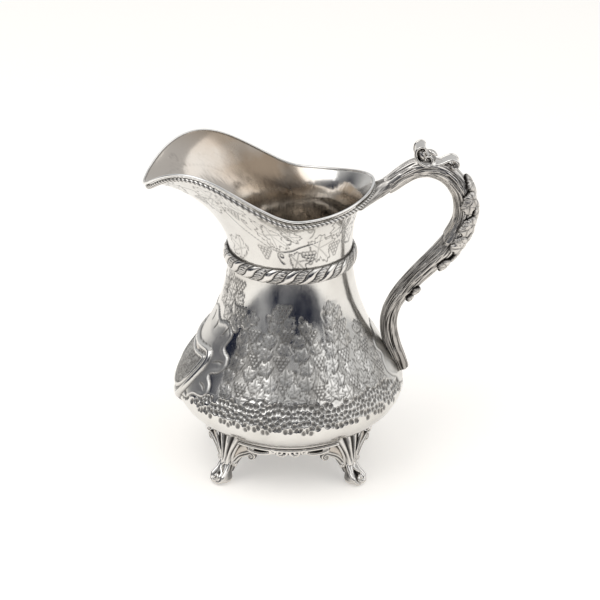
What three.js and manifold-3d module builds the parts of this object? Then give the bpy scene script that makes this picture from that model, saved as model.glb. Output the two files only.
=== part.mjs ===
// Silver pouring jug: a pear-shaped raised body with a flared neck and a long lip, a rope collar over
// the seam, a cast branch handle with vine leaves and a thumb scroll, and four cast feet with aprons.
// Millimetres, +Z up. The lip points to -X, the handle to +X, and the feet stand on Z = 0.
import * as THREE from "three";
import { mergeVertices } from "three/addons/utils/BufferGeometryUtils.js";
import Module from "manifold-3d";

const wasm = await Module();
wasm.setup();

// Sheet and seats
const WALL = 1.2; // raised sheet
const SEAT_GAP = 0.3; // solder gap between neighbouring pieces
const AROUND = 40; // facets round the neck and the bottom
const BODY_AROUND = 48; // facets round the body
const BOWL_STEPS = 5; // facets up the bowl
const SHOULDER_STEPS = 12; // facets up the shoulder
const INSIDE_BOWL_STEPS = 4; // the same inside the body
const INSIDE_SHOULDER_STEPS = 7;
const NECK_STEPS = 6; // facets up the neck
const NECK_CROWDING = 1.6; // how much shorter they get towards the rim

// Body: radii and heights of its outside
const BELLY_RADIUS = 78;
const BELLY_HEIGHT = 56.5;
const BELLY_SHOULDER = 14; // how far the belly stays upright above its widest line
const BELLY_TURN = 12.5; // the same below that line
const BOTTOM_RADIUS = 34;
const BOTTOM_HEIGHT = 26.5;
const BOTTOM_KICK = 2.5; // rise of the bottom disc at its centre
const BOWL_INSET = 20; // from the belly in to where the bowl turns under
const BOWL_RADIUS = BELLY_RADIUS - BOWL_INSET;
const BOWL_HEIGHT = 31;
const WAIST_RADIUS = 41.4;
const WAIST_HEIGHT = 151.5;
const WAIST_SWEEP = 55; // length of the concave sweep into the waist
const WAIST_FLARE = 2.2; // how much wider that sweep starts

// Raised medallion under the lip
const MEDAL_HEIGHT = 74;
const MEDAL_HALF_WIDTH = 33;
const MEDAL_HALF_HEIGHT = 23.5;
const MEDAL_SQUARENESS = 0.7; // power of its oval: lower is squarer
const MEDAL_TOP_FLARE = 0.12; // how much wider its top is
const MEDAL_TOP_DIP = 10; // how far its top sags in the middle
const MEDAL_BEAD = 1.9; // radius of its moulding
const MEDAL_SINK = 0.9; // how deep the moulding lies in the sheet
const MEDAL_STEPS = 24; // facets along the moulding
const MEDAL_SIDES = 5; // and round it

// Chased relief of the body: soft swells under the vine sprays, each as degrees from the lip and the height
// of its top, and the outlines of the medallion's frame and of the plate behind the handle, each as heights
// with degrees to either side
const SPRAYS = [
  [60, 124],
  [82.5, 133],
  [105, 121],
  [127.5, 131],
  [150, 112],
];
const SPRAY_FOOT = 70; // height where the swells start
const SPRAY_HALF_WIDTH = 11.9;
const SPRAY_SWELL = 1;
const FRAME_EDGE = [
  [48, 0],
  [56, 26],
  [64, 36],
  [76, 41],
  [92, 46],
  [104, 42],
  [113, 0],
];
const FRAME_RISE = 0.9;
const PLATE_EDGE = [
  [59.5, 0],
  [67, 15.5],
  [79, 15.5],
  [92, 12],
  [98, 0],
];
const PLATE_RISE = 0.8;

// Mouth: plan and heights of the rim
const RIM_CENTRE_X = -15;
const LIP_REACH = 80.5; // from the mouth's centre to the lip's tip
const HEEL_REACH = 69.6; // from the mouth's centre to the rim over the handle
const MOUTH_HALF_WIDTH = 52.2;
const HEEL_HEIGHT = 201.4;
const DIP_HEIGHT = 192.2;
const CREST_HEIGHT = 219.8;
const TIP_HEIGHT = 200.2;
const DIP_ANGLE = 71; // degrees round the mouth from the handle
const CREST_ANGLE = 127;
const NECK_STRAIGHT = 0.52; // share of the neck's rise that stays upright
const FLARE_REACH = 9; // length of the flare under the rim
const FLARE_DROP = 12;
const LIP_FLARE_REACH = 22; // the same at the lip's tip
const LIP_FLARE_DROP = -2.3;
const LIP_SHARPNESS = 6; // how fast the lip's flare fades round the mouth

// Rim wires
const EDGE_HALF_WIDTH = 1.2;
const EDGE_HEIGHT = 1.2;
const ROPE_RADIUS = 1.3;
const ROPE_TURNS = 22;
const ROPE_STEPS_PER_TURN = 6;

// Rope collar
const COLLAR_HEIGHT = 10;
const COLLAR_DEPTH = 2.4;
const COLLAR_LOBES = 40;
const COLLAR_LOBE_DEPTH = 1;
const COLLAR_LAY = 0.26; // turn of a lobe, in radians, across the collar

// Branch handle: its centre line lies in the plane Y = 0
const BRANCH_START = 8.5; // from the rim's heel out to the fork
const BRANCH_START_DROP = 2.5;
const BRANCH_TOP_X = 88;
const BRANCH_TOP_HEIGHT = 212.5;
const BRANCH_REACH = 114.5;
const BRANCH_REACH_HEIGHT = 182;
const BRANCH_BEND = 31; // length of the upright stretch at each end of the long slant
const BRANCH_WAIST_STANDOFF = 12.6; // from the body, at the lower bend
const BRANCH_WAIST_HEIGHT = 100;
const BRANCH_END_STANDOFF = 1.6;
const BRANCH_END_HEIGHT = 65;
const BRANCH_RADII = [5, 6.2, 6.1, 6, 6.5, 5.9, 5, 5.2, 4.4];
const BRANCH_STEPS = 29;
const BARK_RIDGES = 8;
const BARK_DEPTH = 0.5;
const BARK_TWIST = 1.4; // radians from end to end
const PRONG_ANGLE = 27; // degrees round the neck to the tip of each root prong
const PRONG_RADII = [4.6, 4.2, 3.2, 1.9];
const PRONG_LEVEL = 0.84; // level of the prongs on the neck, as a share of its rise

// Vine leaves on the back of the branch
const LEAF_LENGTH = 5.6; // from a leaf's centre to its tip
const LEAF_THICKNESS = 1.6;
const LEAF_CROWN = 1.8; // extra height at its middle
const LEAF_LOBES = 5;
const LEAF_FIRST = 0.275; // place of the first row along the branch, as a share of its length
const LEAF_ROW_STEP = 0.037;
const LEAF_ROWS = 7;
const LEAF_SPREAD = 48; // degrees from the back, for a row of two

// Thumb scroll
const SCROLL_WIDTH = 12;
const SCROLL_SHEET = 1.3;
const VOLUTE_RADIUS = 3.1;
const VOLUTE_TURNS = 0.95;
const VOLUTE_EYE = 0.4; // share of its radius that a volute winds in to
const VOLUTE_STEPS = 11; // facets in a whole turn
// Its places, each as a distance behind the top of the branch and a height above it
const CURL_STEM = [
  [-3.6, -0.4],
  [-6, 2.2],
  [-6.8, 5],
];
const CURL_EYE = [-3.4, 6.9];
const ROLL_EYE = [1, 0.9];
const ROLL_BACK = [
  [7.5, -2],
  [13.5, -0.2],
];
const TAIL_EYE = [18.3, -2.9];
const BUD_PLACE = [4.2, 4.2];
const BUD_SIZE = [4.6, 3, 1.9];
const BUD_TILT = 32; // degrees
const SADDLE_HALF_LENGTH = 7;
const SADDLE_HEIGHT = 2.4;

// Feet and aprons
const FOOT_STEP = 90; // degrees from foot to foot
const FOOT_INSET = 16.5; // from the belly in to the middle of a sole
const FOOT_RADIUS = BELLY_RADIUS - FOOT_INSET;
const FOOT_FLUTES = 4;
const FLUTE_DEPTH = 0.45;
const BRACKET_DEPTH = 3.2;
const BRACKET_SETBACK = 3.4; // from the middle of the sole in to the brackets
const BRACKET_SHEET = 1.3;
const BRACKET_CURL_RADIUS = 2.4;
const BRACKET_CURL_TURNS = 0.8;
const APRON_INSET = 23; // from the belly in to the middle of an apron
const APRON_RADIUS = BELLY_RADIUS - APRON_INSET;
const APRON_HALF_SPAN = 32; // degrees
const APRON_DEPTH = 3.6;
const APRON_LOW = 29.8; // lower edge of the moulded bar at its middle
const APRON_BEAD = 1.6; // from there up to the bar's fullest place
const APRON_FLARE = 6; // how far its ends stand out from there
const APRON_RISE = 4.2; // and how far they rise
const SWAG_RADIUS = 1.1;

const SILVER = new THREE.MeshStandardMaterial({ color: 0xc8c6c3, roughness: 0.2, metalness: 1 });
const CAST_SILVER = new THREE.MeshStandardMaterial({ color: 0x97938f, roughness: 0.36, metalness: 1 });
const EDGE_SILVER = new THREE.MeshStandardMaterial({ color: 0xdedcd8, roughness: 0.16, metalness: 1 });

const TURN = Math.PI * 2;
const { clamp, degToRad, lerp, radToDeg } = THREE.MathUtils;
const range = (count) => Array.from({ length: count }, (_, i) => i);
const polar = (radius, angle, z) => new THREE.Vector3(radius * Math.cos(angle), radius * Math.sin(angle), z);

// A solid from a closed geometry, with its faces turned outward.
function solidOf(geometry) {
  geometry.deleteAttribute("normal");
  geometry.deleteAttribute("uv");
  const merged = mergeVertices(geometry, 1e-4);
  const vertProperties = new Float32Array(merged.attributes.position.array);
  const triVerts = new Uint32Array(merged.index.array);
  const solid = new wasm.Manifold(new wasm.Mesh({ numProp: 3, vertProperties, triVerts }));
  if (solid.volume() > 0) return solid;
  return new wasm.Manifold(new wasm.Mesh({ numProp: 3, vertProperties, triVerts: triVerts.reverse() }));
}

// The largest body of a solid, without the slivers that a cut leaves beside it.
function mainBody(solid) {
  return solid.decompose().reduce((a, b) => (b.volume() > a.volume() ? b : a));
}

function meshOf(name, solid, material) {
  const { vertProperties, triVerts } = solid.getMesh();
  const geometry = new THREE.BufferGeometry();
  geometry.setAttribute("position", new THREE.BufferAttribute(vertProperties, 3));
  geometry.setIndex(new THREE.BufferAttribute(triVerts, 1));
  const mesh = new THREE.Mesh(geometry, material);
  mesh.name = name;
  return mesh;
}

// A solid skinned over rings of points: the end rings are closed, or the last one joins the first.
function skin(rings, loop = false) {
  const count = rings[0].length;
  const index = [];
  const spans = loop ? rings.length : rings.length - 1;
  for (let i = 0; i < spans; i += 1) {
    const near = i * count;
    const far = ((i + 1) % rings.length) * count;
    for (let j = 0; j < count; j += 1) {
      const k = (j + 1) % count;
      index.push(near + j, far + j, far + k, near + j, far + k, near + k);
    }
  }
  const end = (rings.length - 1) * count;
  for (let j = 1; j < count - 1 && !loop; j += 1) {
    index.push(0, j, j + 1, end, end + j + 1, end + j);
  }
  const geometry = new THREE.BufferGeometry().setFromPoints(rings.flat());
  geometry.setIndex(index);
  return solidOf(geometry);
}

// A round tube along a curve; radii are spread evenly over its length.
function tube(curve, radii, steps, sides) {
  const frames = curve.computeFrenetFrames(steps);
  const rings = range(steps + 1).map((i) => {
    const centre = curve.getPointAt(i / steps);
    const radius = spread(radii, i / steps);
    return range(sides).map((j) => {
      const angle = (TURN * j) / sides;
      return centre
        .clone()
        .addScaledVector(frames.normals[i], radius * Math.cos(angle))
        .addScaledVector(frames.binormals[i], radius * Math.sin(angle));
    });
  });
  return skin(rings);
}

// Value at share u of a list of values that are spread evenly.
function spread(values, u) {
  const place = u * (values.length - 1);
  const i = Math.min(Math.floor(place), values.length - 2);
  return lerp(values[i], values[i + 1], place - i);
}

function revolve(profile, segments) {
  return solidOf(new THREE.LatheGeometry(profile, segments).rotateX(Math.PI / 2));
}

// Body profile: radius as x, height as y, from the bottom edge to the waist.
const v2 = (x, y) => new THREE.Vector2(x, y);
const bowlCurve = new THREE.CubicBezierCurve(
  v2(BOTTOM_RADIUS, BOTTOM_HEIGHT),
  v2(BOWL_RADIUS, BOWL_HEIGHT),
  v2(BELLY_RADIUS, BELLY_HEIGHT - BELLY_TURN),
  v2(BELLY_RADIUS, BELLY_HEIGHT),
);
const shoulderCurve = new THREE.CubicBezierCurve(
  v2(BELLY_RADIUS, BELLY_HEIGHT),
  v2(BELLY_RADIUS, BELLY_HEIGHT + BELLY_SHOULDER),
  v2(WAIST_RADIUS + WAIST_FLARE, WAIST_HEIGHT - WAIST_SWEEP),
  v2(WAIST_RADIUS, WAIST_HEIGHT),
);

// Body profile moved outward by an offset, with numbers of facets up the bowl and the shoulder.
function bodyProfile(offset, bowlSteps, shoulderSteps) {
  const along = (curve, steps, first) =>
    range(steps + 1 - first).map((i) => {
      const u = (i + first) / steps;
      const tangent = curve.getTangent(u);
      return curve.getPoint(u).add(v2(tangent.y, -tangent.x).multiplyScalar(offset));
    });
  return [...along(bowlCurve, bowlSteps, 0), ...along(shoulderCurve, shoulderSteps, 1)];
}

// Outside radius of the body at a height above its bottom edge.
const bodyOutline = bodyProfile(0, BOWL_STEPS, SHOULDER_STEPS);
const bodyInside = bodyProfile(-WALL, INSIDE_BOWL_STEPS, INSIDE_SHOULDER_STEPS);
function bodyRadius(height) {
  const i = Math.max(1, bodyOutline.findIndex((p) => p.y >= height));
  const [low, high] = [bodyOutline[i - 1], bodyOutline[i]];
  return lerp(low.x, high.x, (height - low.y) / (high.y - low.y));
}

// Half width of an outline at a height, in degrees.
function widthAt(edge, height) {
  const i = edge.findIndex(([z]) => z >= height);
  if (i < 1) return 0;
  const [[low, narrow], [high, wide]] = [edge[i - 1], edge[i]];
  return lerp(narrow, wide, (height - low) / (high - low));
}

// Height of the chased relief at an angle round the body and a height.
function reliefAt(around, height) {
  const fromLip = radToDeg(Math.abs(around - Math.PI));
  const radius = bodyRadius(height);
  const inMedallion =
    degToRad(fromLip) * radius < MEDAL_HALF_WIDTH && Math.abs(height - MEDAL_HEIGHT) < MEDAL_HALF_HEIGHT;
  if (inMedallion) return 0;
  if (fromLip < widthAt(FRAME_EDGE, height)) return FRAME_RISE;
  if (180 - fromLip < widthAt(PLATE_EDGE, height)) return PLATE_RISE;
  return SPRAYS.reduce((total, [angle, top]) => {
    const rise = clamp((height - SPRAY_FOOT) / (top - SPRAY_FOOT), 0, 1);
    const across = clamp((degToRad(fromLip - angle) * radius) / SPRAY_HALF_WIDTH, -1, 1);
    const side = Math.cos((across * Math.PI) / 2) ** 1.5;
    return total + SPRAY_SWELL * Math.sin(Math.PI * rise ** 0.8) ** 0.7 * side;
  }, 0);
}

// Rings up the outside of the body with its relief, moved outward by an offset.
function bodyRings(offset) {
  const proud = bodyProfile(1, BOWL_STEPS, SHOULDER_STEPS);
  return bodyOutline.map((place, i) => {
    const out = proud[i].clone().sub(place);
    return range(BODY_AROUND).map((j) => {
      const around = (TURN * j) / BODY_AROUND;
      const at = place.clone().addScaledVector(out, offset + reliefAt(around, place.y));
      return polar(at.x, around, at.y);
    });
  });
}

// Everything that the body takes up, with the solder gap round it.
const bodyRoom = skin(bodyRings(SEAT_GAP));

// A place on the body at an angle round it and a height, with the direction out of the sheet.
function bodyFrame(around, height) {
  const radius = bodyRadius(height);
  const slope = bodyRadius(height + 0.5) - bodyRadius(height - 0.5);
  return { point: polar(radius, around, height), out: polar(1, around, -slope).normalize() };
}

// A place on the outline of the medallion, by the angle round its middle.
function onMedallion(angle) {
  const squared = (value) => Math.sign(value) * Math.abs(value) ** MEDAL_SQUARENESS;
  const rise = squared(Math.sin(angle));
  const dip = MEDAL_TOP_DIP * Math.max(Math.sin(angle), 0) ** 4;
  const height = MEDAL_HEIGHT + MEDAL_HALF_HEIGHT * rise - dip;
  const across = MEDAL_HALF_WIDTH * squared(Math.cos(angle)) * (1 + MEDAL_TOP_FLARE * rise);
  return bodyFrame(Math.PI + across / bodyRadius(height), height);
}

// The shield-shaped moulding of the medallion, raised from the body under the lip.
function medallion() {
  const rings = range(MEDAL_STEPS).map((i) => {
    const angle = (TURN * (i + 0.5)) / MEDAL_STEPS;
    const { point, out } = onMedallion(angle);
    const along = onMedallion(angle + 0.05).point.sub(onMedallion(angle - 0.05).point).normalize();
    const across = along.cross(out).normalize();
    const centre = point.addScaledVector(out, MEDAL_BEAD - MEDAL_SINK);
    return range(MEDAL_SIDES).map((j) => {
      const turn = (TURN * j) / MEDAL_SIDES;
      return centre
        .clone()
        .addScaledVector(out, MEDAL_BEAD * Math.cos(turn))
        .addScaledVector(across, MEDAL_BEAD * Math.sin(turn));
    });
  });
  return skin(rings, true);
}

function body() {
  const inside = bodyInside.map((p) =>
    range(BODY_AROUND).map((j) => polar(p.x, (TURN * j) / BODY_AROUND, p.y)),
  );
  const shell = skin([...bodyRings(0), ...inside.reverse()], true);
  return meshOf("body", shell.add(medallion()), SILVER);
}

function bottomDisc() {
  const edge = bodyInside[0].x - SEAT_GAP;
  const crown = new THREE.QuadraticBezierCurve(
    v2(0, BOTTOM_HEIGHT + BOTTOM_KICK),
    v2(edge / 2, BOTTOM_HEIGHT + BOTTOM_KICK),
    v2(edge, BOTTOM_HEIGHT),
  );
  const under = crown.getPoints(3);
  const over = under.map((p) => v2(p.x, p.y + WALL)).reverse();
  return meshOf("bottom_disc", revolve([...under, ...over], AROUND / 2), SILVER);
}

// Height of the rim at an angle round the mouth, easing between its high and low places.
const rimStations = [
  [0, HEEL_HEIGHT],
  [degToRad(DIP_ANGLE), DIP_HEIGHT],
  [degToRad(CREST_ANGLE), CREST_HEIGHT],
  [Math.PI, TIP_HEIGHT],
];
function rimHeight(angle) {
  const folded = Math.abs(((((angle + Math.PI) % TURN) + TURN) % TURN) - Math.PI);
  const i = Math.max(1, rimStations.findIndex(([a]) => a >= folded - 1e-9));
  const [[a0, z0], [a1, z1]] = [rimStations[i - 1], rimStations[i]];
  const ease = (1 - Math.cos((Math.PI * (folded - a0)) / (a1 - a0))) / 2;
  return lerp(z0, z1, ease);
}

// Outside of the neck at an angle round the mouth and a share of the way from the collar to the rim.
const NECK_BASE = WAIST_HEIGHT + COLLAR_HEIGHT / 2;
function neckPoint(angle, share) {
  const reach = Math.cos(angle) < 0 ? LIP_REACH : HEEL_REACH;
  const rim = new THREE.Vector3(
    RIM_CENTRE_X + reach * Math.cos(angle),
    MOUTH_HALF_WIDTH * Math.sin(angle),
    rimHeight(angle),
  );
  const out = new THREE.Vector3(Math.cos(angle) / reach, Math.sin(angle) / MOUTH_HALF_WIDTH, 0).normalize();
  const lip = ((1 - Math.cos(angle)) / 2) ** LIP_SHARPNESS;
  const base = polar(WAIST_RADIUS, angle, NECK_BASE);
  const upright = base.clone().setZ(lerp(NECK_BASE, rim.z, NECK_STRAIGHT));
  const flare = rim.clone().addScaledVector(out, -lerp(FLARE_REACH, LIP_FLARE_REACH, lip));
  flare.z -= lerp(FLARE_DROP, LIP_FLARE_DROP, lip);
  return new THREE.CubicBezierCurve3(base, upright, flare, rim).getPoint(share);
}

// Place on the neck with the directions out of the sheet, up it and along the rim.
function neckFrame(angle, share) {
  const step = 0.004;
  const low = Math.min(Math.max(share - step / 2, 0), 1 - step);
  const up = neckPoint(angle, low + step).sub(neckPoint(angle, low)).normalize();
  const along = neckPoint(angle + step, share).sub(neckPoint(angle - step, share)).normalize();
  const out = along.clone().cross(up).normalize();
  return { point: neckPoint(angle, share), out, up: out.clone().cross(along), along };
}

// Rings of the neck from its seam on the body to the rim, moved outward by an offset.
function neckRings(offset) {
  const angles = range(AROUND).map((i) => (TURN * i) / AROUND);
  const seam = angles.map((angle) => polar(WAIST_RADIUS + offset, angle, WAIST_HEIGHT + SEAT_GAP));
  const flared = range(NECK_STEPS + 1).map((i) =>
    angles.map((angle) => {
      const { point, out } = neckFrame(angle, 1 - (1 - i / NECK_STEPS) ** NECK_CROWDING);
      return point.addScaledVector(out, offset);
    }),
  );
  return [seam, ...flared];
}

function neck() {
  const outside = neckRings(0);
  const inside = neckRings(-WALL).reverse();
  return meshOf("neck", skin([...outside, ...inside], true), SILVER);
}

// Everything that the neck and the mouth take up, with the solder gap round it.
const ABOVE_MOUTH = new THREE.Vector3(0, 0, CREST_HEIGHT);
function neckRoom() {
  const rings = neckRings(SEAT_GAP);
  const above = rings.at(-1).map((p) => p.clone().add(ABOVE_MOUTH));
  return skin([...rings, above]);
}

// Centre line of the rope wire, just under the rim on the outside of the neck.
function ropeFrame(angle) {
  const rise = neckPoint(angle, 1).distanceTo(neckPoint(angle, 0.9)) / 0.1;
  const frame = neckFrame(angle, 1 - (ROPE_RADIUS + SEAT_GAP) / rise);
  frame.point.addScaledVector(frame.out, ROPE_RADIUS + SEAT_GAP);
  return frame;
}

// A square wire twisted round the mouth.
function rimRope() {
  const steps = ROPE_TURNS * ROPE_STEPS_PER_TURN;
  const rings = range(steps).map((i) => {
    const angle = (TURN * i) / steps;
    const { point, out, up } = ropeFrame(angle);
    return range(4).map((j) => {
      const twist = (TURN * j) / 4 - angle * ROPE_TURNS;
      return point
        .clone()
        .addScaledVector(out, ROPE_RADIUS * Math.cos(twist))
        .addScaledVector(up, ROPE_RADIUS * Math.sin(twist));
    });
  });
  return meshOf("rim_rope", skin(rings, true), SILVER);
}

function ropeRoom() {
  const rings = range(AROUND).map((i) => {
    const { point, out, up } = ropeFrame((TURN * i) / AROUND);
    const radius = ROPE_RADIUS + 2 * SEAT_GAP;
    return range(8).map((j) => {
      const turn = (TURN * j) / 8;
      return point
        .clone()
        .addScaledVector(out, radius * Math.cos(turn))
        .addScaledVector(up, radius * Math.sin(turn));
    });
  });
  return skin(rings, true);
}

// A plain half-round wire that caps the edge of the mouth.
function rimEdge() {
  const section = [
    [-EDGE_HALF_WIDTH, 0],
    [EDGE_HALF_WIDTH, 0],
    [EDGE_HALF_WIDTH * 0.8, EDGE_HEIGHT * 0.7],
    [0, EDGE_HEIGHT],
    [-EDGE_HALF_WIDTH * 0.8, EDGE_HEIGHT * 0.7],
  ];
  const steps = AROUND * 1.2;
  const rings = range(steps).map((i) => {
    const { point, out, up } = neckFrame((TURN * i) / steps, 1);
    return section.map(([across, rise]) =>
      point
        .clone()
        .addScaledVector(out, across - WALL / 2)
        .addScaledVector(up, rise + SEAT_GAP),
    );
  });
  return meshOf("rim_edge", skin(rings, true), EDGE_SILVER);
}

// The band over the seam, carved as a laid rope.
function collarBand() {
  const low = WAIST_HEIGHT - COLLAR_HEIGHT / 2;
  const inner = bodyRadius(low) + SEAT_GAP;
  const section = range(5);
  const rings = range(COLLAR_LOBES * 2).map((i) => {
    const angle = (Math.PI * i) / COLLAR_LOBES;
    const lobe = (COLLAR_LOBE_DEPTH / 2) * (i % 2 === 0 ? 1 : -1);
    const bulge = section.map((j) => {
      const share = j / (section.length - 1);
      const round = Math.sqrt(Math.sin(Math.PI * lerp(0.08, 0.92, share)));
      const depth = (COLLAR_DEPTH + lobe) * round;
      return polar(inner + depth, angle + COLLAR_LAY * (share - 0.5), low + COLLAR_HEIGHT * share);
    });
    const [top, bottom] = [angle + COLLAR_LAY / 2, angle - COLLAR_LAY / 2];
    return [polar(inner, top, low + COLLAR_HEIGHT), polar(inner, bottom, low), ...bulge];
  });
  return meshOf("collar_band", skin(rings, true), CAST_SILVER);
}

// Centre line of the branch: from the fork behind the mouth, over the top, out and down to the body.
const v3 = (x, z) => new THREE.Vector3(x, 0, z);
const HEEL_X = RIM_CENTRE_X + HEEL_REACH;
const branchStart = v3(HEEL_X + BRANCH_START, HEEL_HEIGHT - BRANCH_START_DROP);
const branchTop = v3(BRANCH_TOP_X, BRANCH_TOP_HEIGHT);
const branchReach = v3(BRANCH_REACH, BRANCH_REACH_HEIGHT);
const branchWaist = v3(bodyRadius(BRANCH_WAIST_HEIGHT) + BRANCH_WAIST_STANDOFF, BRANCH_WAIST_HEIGHT);
const branchEnd = v3(bodyRadius(BRANCH_END_HEIGHT) + BRANCH_END_STANDOFF, BRANCH_END_HEIGHT);
const QUARTER = 0.5523; // handle length of a quarter round, as a share of its radius
const branch = new THREE.CurvePath();
branch.add(
  new THREE.CubicBezierCurve3(
    branchStart,
    branchStart.clone().lerp(branchTop, 0.3),
    branchTop.clone().setX(lerp(branchTop.x, branchStart.x, 0.45)),
    branchTop,
  ),
);
branch.add(
  new THREE.CubicBezierCurve3(
    branchTop,
    branchTop.clone().setX(lerp(branchTop.x, branchReach.x, QUARTER)),
    branchReach.clone().setZ(lerp(branchReach.z, branchTop.z, QUARTER)),
    branchReach,
  ),
);
branch.add(
  new THREE.CubicBezierCurve3(
    branchReach,
    branchReach.clone().setZ(branchReach.z - BRANCH_BEND),
    branchWaist.clone().setZ(branchWaist.z + BRANCH_BEND),
    branchWaist,
  ),
);
branch.add(
  new THREE.CubicBezierCurve3(
    branchWaist,
    branchWaist.clone().setZ(lerp(branchWaist.z, branchEnd.z, 0.4)),
    branchEnd.clone().lerp(branchWaist, 0.35),
    branchEnd,
  ),
);

// A place on the branch: share of its length, angle round it from the back, distance off its centre.
const NEAR_SIDE = new THREE.Vector3(0, -1, 0);
function onBranch(share, angle, distance) {
  const back = branch.getTangentAt(share).cross(new THREE.Vector3(0, 1, 0));
  return branch
    .getPointAt(share)
    .addScaledVector(back, distance * Math.cos(angle))
    .addScaledVector(NEAR_SIDE, distance * Math.sin(angle));
}

const branchRidge = (share) => spread(BRANCH_RADII, share) + BARK_DEPTH;

function branchRings(steps, sides, distanceAt) {
  return range(steps + 1).map((i) => {
    const share = i / steps;
    const twist = BARK_TWIST * share;
    return range(sides).map((j) => onBranch(share, (TURN * j) / sides + twist, distanceAt(share, j)));
  });
}

// One of the two prongs that grip the neck under the rim.
function prong(side) {
  const onNeck = (degrees, radius) => {
    const { point, out } = neckFrame(side * degToRad(degrees), PRONG_LEVEL);
    return point.addScaledVector(out, radius);
  };
  const [, , grip, tip] = PRONG_RADII;
  const curve = new THREE.CatmullRomCurve3([
    onBranch(0.03, 0, 0),
    onBranch(0, 0, 0).add(onNeck(PRONG_ANGLE / 3, grip)).multiplyScalar(0.5),
    onNeck(PRONG_ANGLE / 2, grip * 0.8),
    onNeck(PRONG_ANGLE, tip * 0.8),
  ]);
  return tube(curve, PRONG_RADII, 8, 6);
}

function handle() {
  const sides = BARK_RIDGES * 2;
  const barked = (share, j) => branchRidge(share) - (j % 2) * 2 * BARK_DEPTH;
  const solid = skin(branchRings(BRANCH_STEPS, sides, barked))
    .add(prong(1))
    .add(prong(-1))
    .subtract(neckRoom())
    .subtract(ropeRoom())
    .subtract(bodyRoom);
  return meshOf("handle", mainBody(solid), CAST_SILVER);
}

// A lobed leaf wrapped on the branch, its tip pointing down the stem.
function vineLeaf(number, share, angle) {
  const length = branch.getLength();
  const points = LEAF_LOBES * 3;
  const seat = branchRidge(share) + SEAT_GAP;
  const ring = (scale, rise) =>
    range(points).map((j) => {
      const turn = (TURN * j) / points;
      const reach = LEAF_LENGTH * scale * (0.8 + 0.2 * Math.cos(LEAF_LOBES * turn));
      const along = share + (reach * Math.cos(turn)) / length;
      return onBranch(along, angle + (reach * Math.sin(turn)) / seat, branchRidge(along) + SEAT_GAP + rise);
    });
  const rings = [
    ring(0.3, 0),
    ring(1, 0),
    ring(1, LEAF_THICKNESS / 2),
    ring(0.4, LEAF_THICKNESS / 2 + LEAF_CROWN),
  ];
  return meshOf(`vine_leaf_${number}`, skin(rings), CAST_SILVER);
}

// Rows of one leaf on the back and of two beside it, in turn.
function vineLeaves() {
  const places = range(LEAF_ROWS).flatMap((row) => {
    const share = LEAF_FIRST + row * LEAF_ROW_STEP;
    const spreadAngle = degToRad(LEAF_SPREAD);
    return row % 2 === 0 ? [[share, 0]] : [[share, spreadAngle], [share, -spreadAngle]];
  });
  return places.map(([share, angle], i) => vineLeaf(i + 1, share, angle));
}

// Points of a volute that winds in clockwise from an angle on its rim.
function volute(centre, rim, turns, startAngle) {
  const steps = Math.ceil(turns * VOLUTE_STEPS);
  return range(steps).map((i) => {
    const u = i / (steps - 1);
    const angle = startAngle - u * turns * TURN;
    const radius = rim * lerp(1, VOLUTE_EYE, u);
    return v2(centre.x + radius * Math.cos(angle), centre.y + radius * Math.sin(angle));
  });
}

// A rolled strip: a line given a sheet's thickness and a width. Its place gives the point for a distance
// along, a height and a distance across the width.
function strip(line, sheet, width, place) {
  const rings = line.map((p, i) => {
    const before = line[Math.max(i - 1, 0)];
    const after = line[Math.min(i + 1, line.length - 1)];
    const tangent = after.clone().sub(before).normalize();
    const half = v2(-tangent.y, tangent.x).multiplyScalar(sheet / 2);
    const over = p.clone().add(half);
    const under = p.clone().sub(half);
    return [
      place(over.x, over.y, -width / 2),
      place(over.x, over.y, width / 2),
      place(under.x, under.y, width / 2),
      place(under.x, under.y, -width / 2),
    ];
  });
  return skin(rings);
}

const upTheBranch = (along, height, across) => new THREE.Vector3(along, across, height);

// The thumb scroll on top of the branch: an upright curl, a strip that rolls over behind it, a bud, and the
// saddle that they spring from.
function thumbScroll() {
  const at = ([along, up]) => v2(branchTop.x + along, branchTop.z + BRANCH_RADII[2] + up);
  const roll = (eye, startAngle) => volute(at(eye), VOLUTE_RADIUS, VOLUTE_TURNS, startAngle);
  const curl = [...CURL_STEM.map(at), ...roll(CURL_EYE, Math.PI)];
  const foreRoll = roll(ROLL_EYE, Math.PI * 1.5).reverse();
  const back = [...foreRoll, ...ROLL_BACK.map(at), ...roll(TAIL_EYE, Math.PI / 2)];
  const budPlace = at(BUD_PLACE);
  const bud = new THREE.SphereGeometry(1, 8, 5)
    .scale(...BUD_SIZE)
    .rotateY(degToRad(BUD_TILT))
    .translate(budPlace.x, 0, budPlace.y);
  const crest = at([0, 0]);
  const saddle = new THREE.SphereGeometry(1, 10, 6)
    .scale(SADDLE_HALF_LENGTH, SCROLL_WIDTH / 2, SADDLE_HEIGHT)
    .translate(crest.x, 0, crest.y);
  const room = skin(branchRings(BRANCH_STEPS, BARK_RIDGES, (share) => branchRidge(share) + SEAT_GAP));
  const solid = strip(curl, SCROLL_SHEET, SCROLL_WIDTH, upTheBranch)
    .add(strip(back, SCROLL_SHEET, SCROLL_WIDTH, upTheBranch))
    .add(solidOf(bud))
    .add(solidOf(saddle))
    .subtract(room);
  return meshOf("thumb_scroll", mainBody(solid), CAST_SILVER);
}

// Sections of a foot from the sole up: height, distance of its middle from the sole's, half depth and half
// width.
const FOOT_SECTIONS = [
  [0, 0, 4.4, 4.6],
  [2.6, 1.8, 7, 6.6],
  [5.6, 1.8, 6.8, 6.2],
  [8.8, 0, 4.4, 4.6],
  [13, -1.6, 2.9, 4],
  [18, -2.6, 2.3, 5.6],
  [23, -3.4, 2, 9.4],
  [28, -4.6, 1.9, 13.4],
  [33, -6.4, 2, 15],
  [43, -10.7, 2.6, 15],
];

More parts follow.
